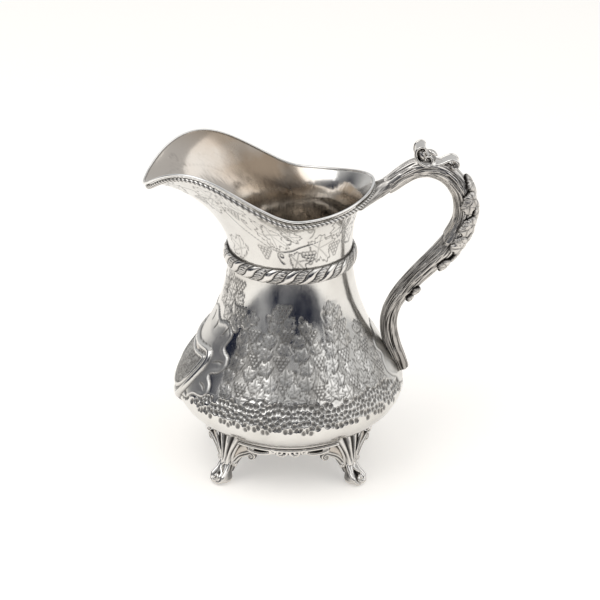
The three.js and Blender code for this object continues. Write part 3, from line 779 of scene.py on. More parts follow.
    def bunch(self, place: tuple, size: float, rows: int, work: Work) -> None:
        """Works a hanging bunch of grapes, widest at its top row.

        Args:
            place: the middle of its top row.
            size: radius of a grape.
            rows: number of rows, and of grapes in the top one.
            work: how it is worked.
        """
        around, up = place
        wide, tall = self.scale(place)
        crown, side, edge = self.berry_tones
        for row in range(rows):
            for k in range(rows - row):
                off = (k - (rows - row - 1) / 2) * self.bunch_pitch * size
                off += self.rng.uniform(-self.bunch_jitter, self.bunch_jitter) * size
                middle = around + off / wide, up - row * self.bunch_drop * size / tall
                spot, x, y = self.window(middle, size * self.berry_window)
                reach = np.hypot(x, y)
                rim = bell(reach - size, self.line_width)
                if work is Work.CUT:
                    self.trace(spot, self.berry_cut * rim, self.berry_cut_tone * rim, reach > size)
                    continue
                dome = np.sqrt(clamped(1 - (reach / size) ** 2))
                cover = within(reach - size, self.berry_soft)
                height, tone = self.ground_rise + self.berry_rise * dome, crown + side * (1 - dome)
                self.lay(spot, cover, height, tone, self.berry_mat)
                self.trace(spot, 0.0, edge * rim)

    def line(self, points: Array, width: float, work: Work, tone: float = 0.6) -> None:
        """Works a stem or tendril.

        Args:
            points: the places that it passes.
            width: half its width.
            work: how it is worked.
            tone: how dark it is where it is cut.
        """
        for (a0, s0), (a1, s1) in zip(points, points[1:]):
            middle = (a0 + a1) / 2, (s0 + s1) / 2
            wide, tall = self.scale(middle)
            half_x, half_y = (a1 - a0) / 2 * wide, (s1 - s0) / 2 * tall
            length = math.hypot(half_x, half_y)
            spot, x, y = self.window(middle, length + 3 * width)
            share = np.clip((x * half_x + y * half_y) / max(length**2, TINY), -1, 1)
            reach = np.hypot(x - share * half_x, y - share * half_y)
            core = bell(reach, width)
            if work is Work.CUT:
                self.trace(spot, self.stem_cut * core, tone * core)
            else:
                self.lay(spot, core, self.stem_rise, self.stem_tone)
                self.trace(spot, 0.0, self.stem_outline_tone * bell(reach - 1.7 * width, self.line_width))

    def tendril(self, place: tuple, size: float, side: int) -> None:
        """Cuts a tendril that curls up to one side.

        Args:
            place: its root.
            size: its height.
            side: 1 for a curl away from the lip on the near side, -1 for the other way.
        """
        wide, tall = self.scale(place)
        line = np.vstack([smooth_line(self.tendril_stem, 4), volute(*self.tendril_curl)]) * size
        points = joined([place[0] + side * line[:, 0] / wide, place[1] + line[:, 1] / tall])
        self.line(points, self.tendril_width, Work.CUT)

    def pits(self, low: Array, top: Array, pitch: float) -> None:
        """Punches a band of pits so close that only thin ridges stay between them.

        Args:
            low: the band's lower edge at each column.
            top: its upper edge at each column.
            pitch: distance between the pits.
        """
        count = round(TAU * self.radius.max() / pitch)
        rise = self.pit_rise * pitch
        sideways, upwards = self.pit_jitter
        first, second = np.full((2, *self.height.shape), FAR_MM)
        for row in range(int((top.max() - low.min()) / rise) + 1):
            for k in range(count):
                around = (k + 0.5 * (row % 2) + self.rng.uniform(-sideways, sideways)) * TAU / count
                up = low.min() + (row + self.rng.uniform(-upwards, upwards)) * rise
                bottom, crown = (np.interp(around % TAU, self.around, edge) for edge in (low, top))
                if not bottom < up < crown:
                    continue
                spot, x, y = self.window((around, up), 1.5 * pitch)
                reach = np.hypot(x, y / self.pit_stretch)
                second[spot] = np.minimum(second[spot], np.maximum(first[spot], reach))
                first[spot] = np.minimum(first[spot], reach)
        bowl = clamped(1 - (first / (self.pit_reach * pitch)) ** 2)
        pit = clamped((second - first) / self.pit_wall) * bowl**0.7
        ridge = self.pit_ridge_rise * bell(first - self.pit_ridge * pitch, self.line_width)
        self.matted *= clamped(first / pitch - 0.7)
        self.trace(np.s_[:, :], self.pit_depth * pit - ridge, self.pit_tone * clamped(1.7 * pit - 0.25))


@dataclass
class Body:
    """The raised body: a pear-shaped sheet with a medallion, a fruiting vine and a punched band."""

    form: BodyForm
    near_half_turn: float = 1.25
    near_mm: float = 0.62
    far_mm: float = 0.98
    row_levels: tuple = (0, 52, 76, 142)
    row_mm: float = 1.0
    band_row_mm: float = 0.56
    plain_rows: tuple = (9, 6)
    inside_rows: int = 15
    lining: float = 0.4
    disc_tone: float = 0.25
    medal_height: float = 74.0
    medal_half_width: float = 33.0
    medal_half_height: float = 23.5
    medal_squareness: float = 0.7
    medal_top_flare: float = 0.12
    medal_top_dip: float = 10.0
    medal_soft: float = 0.9
    medal_ground: tuple = (0.1, 0.25)
    medal_tones: tuple = (0.25, 0.6)
    medal_beads: tuple = ((0, 2.3, 2.6), (-6.2, 1.3, 1.2))
    bead_tones: tuple = (0.04, 0.5)
    bead_line: float = 0.4
    bead_polish: float = 0.8
    frame_edge: tuple = (
        (0, 112), (12, 115), (24, 110), (34.9, 111.9), (42.1, 107.6), (43.1, 104.3), (40.1, 97.6), (42.3, 94.8),
        (45.9, 93.1), (47, 90.7), (47.1, 86.6), (43.5, 82.4), (37.8, 79.8), (37.7, 77.7), (41.3, 74.3), (42, 69.8),
        (38.7, 65.5), (31.5, 64.1), (27, 59), (20, 57), (15, 52), (0, 50),
    )
    frame_cuts: tuple = (
        ((33.5, 103), (36.2, 107), (37.8, 109.3)), ((36, 86.4), (40, 88), (43.4, 88.4)),
        ((33.4, 72.4), (36.4, 71.8), (38.4, 70.2)), ((20, 103), (21.5, 106), (21, 108.5)),
        ((24, 62.5), (26, 61.8), (27, 60.6)), ((10, 105), (10.5, 108), (9, 111)),
    )
    frame_reach: float = 62.0
    frame_rise: float = 0.2
    frame_roll: tuple = (0.3, 1.6, 1.5)
    frame_crown: tuple = (0.5, 12)
    frame_trench: tuple = (0.12, 0.4, 0.6)
    frame_tone: float = 0.03
    frame_mat: float = 0.5
    edge_tone: float = 0.8
    cut_width: float = 0.7
    cut_tone: float = 0.9
    plate_edge: tuple = (
        (0, 101), (6, 99), (9, 94.5), (15, 93), (17, 88), (14, 83.5), (17.5, 80), (19, 74), (16.5, 69.5), (13, 66.5),
        (12, 62), (6, 59.5), (0, 59),
    )
    band_pitch: float = 3.5
    band_low: tuple = ((0, 58), (32, 58), (60, 57), (90, 56.6), (120, 57.4), (150, 58), (180, 58.5))
    band_top: tuple = (
        (0, 60), (32, 64), (47, 69), (66, 71), (77, 75), (90, 71.4), (106, 72), (120, 70.7), (133, 72.7),
        (150, 71.5), (165, 68), (180, 66),
    )
    sprays: tuple = ((60, 124), (82.5, 133), (105, 121), (127.5, 131), (150, 112))
    crests: tuple = ((24, 119, 146), (37, 112, 143))
    low_leaves: tuple = ((70.5, 76.5), (93.5, 75.5), (116, 76), (139, 75.5))
    low_fan: tuple = ((0.75, 0), (-0.75, 0), (0.1, 4))
    low_leaf: float = 6.4
    spray_foot: float = 70.0
    spray_half_width: float = 11.9
    spray_swell: float = 1.0
    spray_bow: float = 2.6
    spray_stem: float = 0.6
    spray_pitch: float = 4.6
    spray_offset: tuple = (1.2, 4.2)
    spray_leaf: tuple = (5.4, 1.9)
    spray_leaf_range: tuple = (0.88, 1.1)
    spray_lean: tuple = (1.25, 0.6)
    spray_berry: float = 1.35
    spray_tendril: float = 4.2
    bunch_rows: int = 4
    mist_span: tuple = (46, 166, 5)
    mist_heights: tuple = (60, 108, 26)
    mist_depth: float = 0.05
    mist_tone: float = 0.2
    mist_mat: float = 0.9
    # Painted shade: how dark the mottled patches over the chased foliage are
    painted_cluster_shade: float = 0.16

    def rows(self) -> Array:
        """Spaces the outside's rows, close together where it is punched and chased.

        Returns:
            The rows' lengths up the sheet.
        """
        start, low, mid, top, end = self.form.slant_at([*self.row_levels, self.form.waist_height])
        band = np.linspace(low, mid, int((mid - low) / self.band_row_mm))
        chased = np.linspace(mid, top, int((top - mid) / self.row_mm))
        plain_low, plain_top = self.plain_rows
        bottom, crown = np.linspace(start, low, plain_low), np.linspace(top, end, plain_top)
        return np.concatenate([bottom[:-1], band, chased[1:], crown[1:]])

    def columns(self) -> Array:
        """Spaces the outside's columns, close together on the near side.

        Returns:
            The columns' angles from the lip.
        """
        turn = np.linspace(0, TAU, 721)
        near = np.abs(turn - math.pi / 2) < self.near_half_turn
        density = np.where(near, 1 / self.near_mm, 1 / self.far_mm)
        count = np.concatenate([[0], np.cumsum((density[1:] + density[:-1]) / 2)])
        count = count * self.form.belly_radius * TAU / 720
        return np.interp(np.linspace(0, count[-1], round(count[-1]) + 1), count, turn)

    def closed_edge(self, edge: tuple, middle: float, chasing: Chasing) -> Array:
        """Signed distance from a mirrored outline of degrees and heights round a middle angle.

        Args:
            edge: one half of the outline, from the top to the bottom.
            middle: angle of its middle.
            chasing: the sheet.

        Returns:
            The distance of each place of the sheet.
        """
        half = smooth_line(edge, 5)
        degrees, height = np.vstack([half, (half * (-1, 1))[::-1]]).T
        loop = joined([np.radians(degrees) * self.form.radius_at(height), self.form.slant_at(height)])
        turn = half_turn(chasing.around - middle)
        near = np.flatnonzero(np.abs(turn) < math.radians(self.frame_reach))
        x, y = np.broadcast_arrays(turn[near, None] * chasing.radius[None], chasing.up[None])
        distance = np.full(chasing.height.shape, FAR_MM)
        distance[near] = loop_distance(x, y, loop)
        return distance

    def medal_edge(self) -> tuple:
        """Draws one half of the medallion's outline.

        Returns:
            Its degrees and heights, from its top to its bottom.
        """
        angle = np.linspace(math.pi / 2, -math.pi / 2, 33)
        sine, cosine = np.sin(angle), np.cos(angle)
        rise = np.sign(sine) * np.abs(sine) ** self.medal_squareness
        dip = self.medal_top_dip * clamped(sine) ** 4
        height = self.medal_height + self.medal_half_height * rise - dip
        across = self.medal_half_width * np.abs(cosine) ** self.medal_squareness
        across = across * (1 + self.medal_top_flare * rise)
        return tuple(zip(np.degrees(across / self.form.radius_at(height)), height))

    def swell(self, around: Array, height: Array) -> Array:
        """Height of the soft swells on which the sprays are chased.

        Args:
            around: angles from the lip.
            height: heights, for each row.

        Returns:
            The height at each angle and row.
        """
        from_lip = np.degrees(np.abs(half_turn(around)))
        total = np.zeros((len(around), len(height)))
        for angle, top in self.sprays:
            rise = clamped((height - self.spray_foot) / (top - self.spray_foot))
            across = np.radians(from_lip - angle)[:, None] * self.form.radius_at(height)[None]
            side = np.cos(np.clip(across / self.spray_half_width, -1, 1) * math.pi / 2) ** 1.5
            total += self.spray_swell * np.sin(math.pi * rise**0.8)[None] ** 0.7 * side
        return total

    def spray(self, chasing: Chasing, side: int, angle: float, foot: float, top: float) -> None:
        """Works a vine spray, with leaves, bunches and tendrils in turn.

        Args:
            chasing: the sheet.
            side: 1 on the near side, -1 on the far side.
            angle: degrees from the lip to its middle.
            foot: height from which it rises.
            top: height of its top.
        """
        rise = np.linspace(0, 1, 40)
        height = foot + 1 + (top - foot - 6) * rise
        bow = self.spray_bow * np.sin(TAU * 1.25 * rise + angle)
        line = joined([side * np.radians(angle + bow), self.form.slant_at(height)])
        chasing.line(line, self.spray_stem, Work.CHASED)
        count = round((line[-1, 1] - line[0, 1]) / self.spray_pitch)
        (inset, spread), (small, growth), (lean_low, lean_less) = self.spray_offset, self.spray_leaf, self.spray_lean
        for k in range(count + 1):
            u = k / count
            around, up = line[round(u * (len(line) - 1))]
            way = (-1) ** k * side
            girth = math.sin(math.pi * min(1.0, 0.16 + 0.84 * u) ** 0.8) ** 0.6
            offset = way * (inset + spread * girth) / np.interp(up, chasing.up, chasing.radius)
            if k % 4 == 2:
                chasing.bunch((around + 0.9 * offset, up + 2.5), self.spray_berry, self.bunch_rows, Work.CHASED)
                continue
            lean = way * (lean_low - lean_less * u) * (k < count)
            size = (small + growth * girth) * chasing.rng.uniform(*self.spray_leaf_range)
            chasing.leaf((around + offset, up), size, math.pi / 2 - lean, Work.CHASED)
            if k % 4 == 3:
                chasing.tendril((around + 2.2 * offset, up + 3), self.spray_tendril, way)

    def chase(self, rows: Array) -> Chasing:
        """Works the sheet's outside.

        Args:
            rows: the rows' lengths up the sheet.

        Returns:
            The worked sheet.
        """
        form, around = self.form, self.columns()
        radius, height = (np.interp(rows, form.slants, values) for values in form.outline.T)
        chasing = Chasing(around, rows, radius, seed=11)
        from_lip = np.degrees(np.abs(half_turn(around)))
        low = form.slant_at(np.interp(from_lip, *zip(*self.band_low)) + 1.6 * wander(around, waves=34, seed=3))
        top = form.slant_at(np.interp(from_lip, *zip(*self.band_top)) + 0.8 * wander(around, waves=24, seed=4))
        lift = self.swell(around, height)
        start, end, soft = self.mist_span
        edge = clamped((from_lip - start) / soft) * clamped((end - from_lip) / soft)
        foot, crown, fade = self.mist_heights
        above = height[None] - crown - 4 * wander(around, waves=30, seed=5)[:, None]
        fade = clamped(-above / fade) * (height[None] > foot)
        mist = clamped(0.75 * fade + 0.75 * lift / self.spray_swell) * edge[:, None]
        grain = chasing.rng.random(mist.shape) ** 1.5
        chasing.trace(np.s_[:, :], self.mist_depth * mist * grain, mist * self.mist_tone * (0.35 + 0.65 * grain))
        chasing.matted = self.mist_mat * mist
        sprays = [*((angle, self.spray_foot, crown) for angle, crown in self.sprays), *self.crests]
        for side in (1, -1):
            for spray in sprays:
                self.spray(chasing, side, *spray)
            for angle, foot in self.low_leaves:
                for lean, lifted in self.low_fan:
                    place = side * math.radians(angle - 2.2 * lean), float(form.slant_at(foot + lifted))
                    chasing.leaf(place, self.low_leaf, math.pi / 2 + side * lean, Work.CHASED)
        chasing.height += lift
        across, up = around[:, None] * form.belly_radius, rows[None]
        # Painted shade: mottled darker patches over the chased foliage stand in for the light and shade of its leafy
        # masses
        cloud = np.sin(across / 3.7 + 1.6 * np.sin(up / 6.1)) * np.sin(up / 4.3 + 1.2 * np.sin(across / 7.3))
        chasing.oxide += self.painted_cluster_shade * mist * clamped(cloud) * (1 - chasing.oxide)
        chasing.pits(low, top, self.band_pitch)
        self.raise_frames(chasing)
        return chasing

    def raise_frames(self, chasing: Chasing) -> None:
        """Raises the medallion with its leafy frame, and the leaf plate behind the handle's lower end.

        Args:
            chasing: the sheet.
        """
        every = np.s_[:, :]
        ring = self.closed_edge(self.medal_edge(), 0.0, chasing)
        (roll, roll_in, roll_width), (crown, crown_in) = self.frame_roll, self.frame_crown
        trench, trench_out, trench_width = self.frame_trench
        for edge, middle in ((self.frame_edge, 0.0), (self.plate_edge, math.pi)):
            distance = self.closed_edge(edge, middle, chasing)
            swell = clamped(-distance / crown_in)
            height = self.frame_rise + roll * bell(distance + roll_in, roll_width) + crown * swell**1.5
            chasing.lay(every, within(distance, chasing.soft_edge), height, self.frame_tone, self.frame_mat)
            tone = self.edge_tone * bell(distance - chasing.outline_off, chasing.line_width)
            chasing.trace(every, trench * bell(distance - trench_out, trench_width), tone)
        for cut in self.frame_cuts:
            degrees, height = smooth_line(cut, 5).T
            for side in (1, -1):
                points = joined([side * np.radians(degrees), self.form.slant_at(height)])
                chasing.line(points, self.cut_width, Work.CUT, self.cut_tone)
        grain = chasing.rng.random(chasing.height.shape)
        (rise, pitting), (tone, pit_tone) = self.medal_ground, self.medal_tones
        chasing.lay(every, within(ring, self.medal_soft), rise - pitting * grain, tone + pit_tone * grain)
        crest, flank = self.bead_tones
        for off, half, rise in self.medal_beads:
            bead = np.sqrt(clamped(1 - np.abs((ring - off) / half) ** 3))
            cover = clamped(bead * 3)
            chasing.lay(every, cover, rise * bead, crest + flank * (1 - bead) ** 2)
            for side in (half + self.bead_line, -half - self.bead_line):
                chasing.trace(every, 0.0, self.edge_tone * bell(ring - off - side, chasing.line_width))
            chasing.matted *= 1 - self.bead_polish * cover

    def build(self) -> None:
        """Builds the body and the bottom disc."""
        form = self.form
        rows = self.rows()
        chasing = self.chase(rows)
        around = chasing.around[:, None]
        outer = form.places(around, rows[None], chasing.height)
        back = np.linspace(rows[-1], rows[0], self.inside_rows)
        pushed = np.stack([np.interp(back, rows, column) for column in chasing.height])
        inner = form.places(around, back[None], -form.wall + 0.8 * pushed)
        lining = np.concatenate([np.zeros(len(rows)), np.full(len(back), self.lining), [0]])[None]
        shape = np.concatenate([outer, inner, outer[:, :1]], axis=1)
        oxide, matted = (
            np.concatenate([layer, 0 * pushed, layer[:, :1]], axis=1) for layer in (chasing.oxide, chasing.matted)
        )
        body = Piece("jug_body")
        body.shell(shape, oxide, lining, matted)
        body.finish(SHEET, "body")
        edge = form.places(np.zeros(1), np.zeros(1), -form.wall - SEAT_GAP)[0]
        radii = np.linspace(0, abs(edge[0]), 12)
        rise = form.bottom_kick * (1 - (radii / radii[-1]) ** 2)
        under = joined([radii, form.bottom_height + rise])
        radius, level = np.vstack([under, under[::-1] + (0, form.wall)]).T
        disc = Piece("jug_bottom")
        disc.shell(ringed(radius, np.linspace(0, TAU, 97)[:, None], level), self.disc_tone)
        disc.finish(SHEET, "bottom_disc")


class NeckChasing(Chasing):
    """Chasing on the flared neck, whose sheet is long at the lip and short at the handle."""

    def __init__(self, form: NeckForm, around: Array, share: Array, length: float, seed: int) -> None:
        """Starts a plain neck, with columns at angles from the lip and rows at shares of the steps up it."""
        super().__init__(around, length * share, 0 * share, seed)
        self.form, self.length = form, length

    def scale(self, place: tuple) -> tuple[float, float]:
        """Measures the neck near a place.

        Args:
            place: the place.

        Returns:
            Millimetres for each radian round the neck and for each step up it.
        """
        around, up = place
        step = 0.01
        share = min(max(up / self.length, step), 1 - step)
        angle = around + math.pi + np.array([-step, step, 0, 0])
        left, right, low, high = self.form.place(angle, share + np.array([0, 0, -step, step]))
        return np.linalg.norm(right - left) / (2 * step), np.linalg.norm(high - low) / (2 * step * self.length)


@dataclass
class Neck:
    """The neck's sheet with its cut vine, and the wires round its mouth."""

    form: NeckForm
    columns: int = 620
    outside_rows: int = 104
    inside_rows: int = 46
    row_crowding: float = 1.15
    length: float = 48.0
    stem_width: float = 0.45
    berry: float = 1.25
    bunch_rows: int = 4
    tendril_size: float = 6.0
    stem: tuple = (
        (12, 40), (30, 33), (43, 25), (51, 16), (62, 12), (81, 9), (94, 12), (105, 17.5), (118, 20.5), (131, 22.5),
        (150, 18), (168, 22), (180, 21),
    )
    leaves: tuple = (
        (80, 16, 12.5, 2.2), (82, 19, 12.5, -0.5), (42, 4.5, 11.5, 2.5), (45, 27, 12, 1.8), (38, 23, 9.5, -0.4),
        (118, 14, 12.5, 0.2), (62, 26, 11.5, 1.3), (99, 27, 9.5, 1.2), (140, 27, 10.5, 2.3), (20, 34, 10.5, 2.4),
        (152, 13, 9.5, 1.2), (166, 27, 9, 2), (97, 5, 9, 0.2),
    )
    bunches: tuple = ((70, 8), (109, 11), (56, 22), (134, 13), (30, 27))
    tendrils: tuple = ((64, 15, -1), (94, 17, 1), (113, 26, 1), (86, 3, -1), (27, 38, 1), (146, 22, 1))
    # How much of the inside's warm tone the neck has at each angle from the lip: partly tarnish and partly a painted
    # dark reflection, strongest about a quarter turn from the lip
    tarnish: tuple = (
        (0, 0.4), (30, 0.5), (45, 0.66), (58, 0.85), (72, 1), (104, 1), (118, 0.3), (136, 0), (180, 0.1),
    )
    deep_level: tuple = (182, 14)
    deep_tarnish: float = 0.4
    # Oxide of the painted dark reflection on the far side of the inside
    painted_dark_reflection: float = 0.45
    rope_radius: float = 1.55
    rope_turns: int = 68
    rope_tone: float = 0.97
    edge_half_width: float = 0.85
    edge_height: float = 1.2

    def chase(self, share: Array) -> Chasing:
        """Cuts the vine on the neck's outside.

        Args:
            share: the rows' shares of the way up.

        Returns:
            The worked neck.
        """
        around = np.linspace(0, TAU, self.columns + 1)
        chasing = NeckChasing(self.form, around, share, self.length, seed=23)
        stem = smooth_line(self.stem, 6) * (math.radians(1), 1)
        for side in (1, -1):
            chasing.line(stem * (side, 1), self.stem_width, Work.CUT)
            for angle, up, size, turn in self.leaves:
                way = turn if side > 0 else math.pi - turn
                chasing.leaf((side * math.radians(angle), up), size, way, Work.CUT)
            for angle, up in self.bunches:
                chasing.bunch((side * math.radians(angle), up), self.berry, self.bunch_rows, Work.CUT)
            for angle, up, way in self.tendrils:
                chasing.tendril((side * math.radians(angle), up), self.tendril_size, way * side)
        return chasing

    def tarnish_and_painted_reflection(self, angle: Array, height: Array) -> tuple[Array, Array]:
        """Tarnish and painted dark reflections on the inside of the neck.

        Args:
            angle: angles from the handle.
            height: height of each place.

        Returns:
            How much of the inside's tone each place has, which is partly tarnish and partly a painted dark reflection,
            and the oxide of the painted dark reflection on the far side.
        """
        from_lip = np.degrees(np.abs((angle + TAU) % TAU - math.pi)) + 5 * np.sin(height / 5)
        film = np.interp(from_lip, *zip(*self.tarnish))
        level, fade = self.deep_level
        deep = film + (self.deep_tarnish - film) * clamped((level - height) / fade)
        return deep, self.painted_dark_reflection * clamped((deep - 0.75) / 0.25) * clamped(3 * np.sin(angle))

    def build(self) -> None:
        """Builds the neck, the rope wire under its rim and the wire on its edge."""
        form = self.form
        share = 1 - (1 - np.linspace(0, 1, self.outside_rows)) ** self.row_crowding
        chasing = self.chase(share)
        angle = (chasing.around + math.pi)[:, None]
        place, out, _ = form.frames(angle, share[None])
        outer = place + chasing.height[..., None] * out
        back = np.linspace(1, 0, self.inside_rows)
        place, out, _ = form.frames(angle, back[None])
        pushed = np.stack([np.interp(back, share, column) for column in chasing.height])
        inner = place + (0.5 * pushed - form.body.wall)[..., None] * out
        # The inside's tone is partly tarnish and partly painted reflection, and the far side gets a painted dark
        # reflection
        film, painted_dark_reflection = self.tarnish_and_painted_reflection(angle, inner[..., 2])
        feet = [inner[:, -1:].copy(), outer[:, :1].copy()]
        for foot in feet:
            foot[..., 2] = form.body.waist_height + SEAT_GAP
        plain = np.zeros((len(angle), 1))
        neck = Piece("jug_neck")
        neck.shell(
            np.concatenate([outer, inner, *feet, outer[:, :1]], axis=1),
            np.concatenate([chasing.oxide, painted_dark_reflection - 0.8 * np.minimum(pushed, 0), plain, plain, plain], axis=1),
            np.concatenate([0 * outer[..., 2], film, plain + 1, plain, plain], axis=1),
        )
        neck.finish(SHEET, "neck")
        self.build_rope()
        self.build_edge()

    def build_rope(self) -> None:
        """Builds the twisted wire just under the rim."""
        angle = np.linspace(0, TAU, self.rope_turns * 12 + 1)
        rise = np.linalg.norm(self.form.place(angle, 1.0) - self.form.place(angle, 0.9), axis=1) / 0.1
        place, out, up = self.form.frames(angle, 1 - (self.rope_radius + SEAT_GAP) / rise)
        place = place + out * (self.rope_radius + SEAT_GAP)
        turn = np.linspace(0, TAU, 15)
        strand = np.abs(np.cos(turn[None] + self.rope_turns * angle[:, None]))
        radius = (self.rope_radius * (0.66 + 0.34 * strand**0.7))[..., None]
        round_it = np.cos(turn)[None, :, None] * out[:, None] + np.sin(turn)[None, :, None] * up[:, None]
        rope = Piece("jug_rim_rope")
        rope.shell(place[:, None] + radius * round_it, self.rope_tone * clamped(1.6 - strand / 0.46))
        rope.finish(WIRE, "rim_rope")

    def build_edge(self) -> None:
        """Builds the half-round wire that caps the rim."""
        place, out, up = self.form.frames(np.linspace(0, TAU, 361), np.ones(361))
        arch = np.linspace(0, math.pi, 11)
        section = joined([self.edge_half_width * np.cos(arch), self.edge_height * np.sin(arch)])
        section = np.vstack([section, section[:1]]) + (-self.form.body.wall / 2, SEAT_GAP)
        edge = Piece("jug_rim_edge")
        edge.shell(place[:, None] + section[None, :, :1] * out[:, None] + section[None, :, 1:] * up[:, None])
        edge.finish(BRIGHT, "rim_edge")


@dataclass
class Collar:
    """The band over the seam, carved as a laid rope of plain and veined strands in turn."""

    form: BodyForm
    height: float = 10.0
    depth: float = 2.4
    strands: int = 40
    strand_depth: float = 1.2
    strand_columns: int = 18
    rows: int = 33
    lay: float = 0.26
    bend: float = 0.025
    veins: float = 6.0
    vein_depth: float = 0.16
    veined_sink: float = 0.15
    gap_width: float = 0.36
    gap_tone: float = 0.92
    vein_tone: float = 0.5
    veined_tone: float = 0.16
    edge_tone: float = 0.3
    rim_tone: float = 0.6

    def build(self) -> None:
        """Builds the collar, its columns laid along the strands."""
        low = self.form.waist_height - self.height / 2
        inner = self.form.radius_at(low) + SEAT_GAP
        column = np.linspace(0, TAU, self.strands * self.strand_columns + 1)[:, None]
        share = np.linspace(0, 1, self.rows)[None]
        angle = column + self.lay * (share - 0.5) + self.bend * np.sin(TAU * share)
        phase = self.strands / 2 * column
        ridge = np.abs(np.cos(phase))
        swell = np.sqrt(np.sin(math.pi * (0.07 + 0.86 * share)))
        veined = clamped(-1.6 * np.cos(phase))
        vein = veined * np.cos(TAU * self.veins * share + 3 * np.abs(np.sin(phase)))
        depth = (self.depth + self.strand_depth * (ridge**0.6 - 0.62)) * swell
        depth = depth + self.vein_depth * vein - self.veined_sink * veined
        outer = ringed(inner + depth, angle, low + self.height * share)
        rims = [ringed(inner, angle[:, i, None], level) for i, level in ((-1, low + self.height), (0, low))]
        gap = clamped(1.25 - ridge / self.gap_width)
        oxide = self.gap_tone * gap + self.vein_tone * clamped(-vein) + self.veined_tone * veined
        oxide = oxide + self.edge_tone * (1 - swell)
        plain = self.rim_tone + 0 * column
        band = Piece("jug_collar")
        band.shell(
            np.concatenate([outer, *rims, outer[:, :1]], axis=1),
            np.concatenate([oxide, plain, plain, oxide[:, :1]], axis=1),
        )
        band.finish(CARVED, "collar_band")


@dataclass
class BranchForm:
    """The centre line of the handle's branch, from the fork behind the mouth down to the body."""

    body: BodyForm
    neck: NeckForm
    fork_out: float = 8.5
    fork_drop: float = 2.5
    top: tuple = (88, 212.5)
    reach: tuple = (114.5, 182)
    drop: float = 31.0
    waist_height: float = 100.0
    waist_out: float = 12.6
    end_height: float = 65.0
    end_out: float = 1.6
    radii: tuple = (5, 6.2, 6.1, 6, 6.5, 5.9, 5, 5.2, 4.4)
    bark: float = 0.5

    @cached_property
    def line(self) -> Array:
        """Draws the centre line.

        Returns:
            Its places, as distance from the jug's axis and height.
        """
        heel = self.neck.place(np.array(0.0), np.array(1.0))
        start = np.array([heel[0] + self.fork_out, heel[2] - self.fork_drop])
        top, reach = np.array(self.top), np.array(self.reach)
        waist = np.array([self.body.radius_at(self.waist_height) + self.waist_out, self.waist_height])
        end = np.array([self.body.radius_at(self.end_height) + self.end_out, self.end_height])
        over = top + (QUARTER_BEND * (reach[0] - top[0]), 0)
        behind = reach + (0, QUARTER_BEND * (top[1] - reach[1]))
        spans = (
            (start, start + 0.3 * (top - start), (top[0] + 0.45 * (start[0] - top[0]), top[1]), top),
            (top, over, behind, reach),
            (reach, reach - (0, self.drop), waist + (0, self.drop), waist),
            (waist, (waist[0], waist[1] + 0.4 * (end[1] - waist[1])), end + 0.35 * (waist - end), end),
        )
        t = np.linspace(0, 1, 80)
        return np.vstack([bezier(span, t[:-1]) for span in spans] + [end[None]])

    @cached_property
    def lengths(self) -> Array:
        """Length along the centre line up to each of its places."""
        return lengths_along(self.line)

    def ridge(self, share: Array) -> Array:
        """Radius of the branch with its bark, at shares of its length."""
        return np.interp(share, np.linspace(0, 1, len(self.radii)), self.radii) + self.bark

    def place(self, share: Array, angle: Array, distance: Array) -> Array:
        """Places round the branch.

        Args:
            share: shares of its length.
            angle: angles round it, from its back towards the near side.
            distance: distances from its centre line.

        Returns:
            The places.
        """
        length = np.asarray(share) * self.lengths[-1]
        tangent = unit(np.gradient(self.line, self.lengths, axis=0))
        x, z, tx, tz = (np.interp(length, self.lengths, values) for values in (*self.line.T, *tangent.T))
        back, side = distance * np.cos(angle), distance * np.sin(angle)
        return joined(np.broadcast_arrays(x - tz * back, -side + 0 * x, z + tx * back))


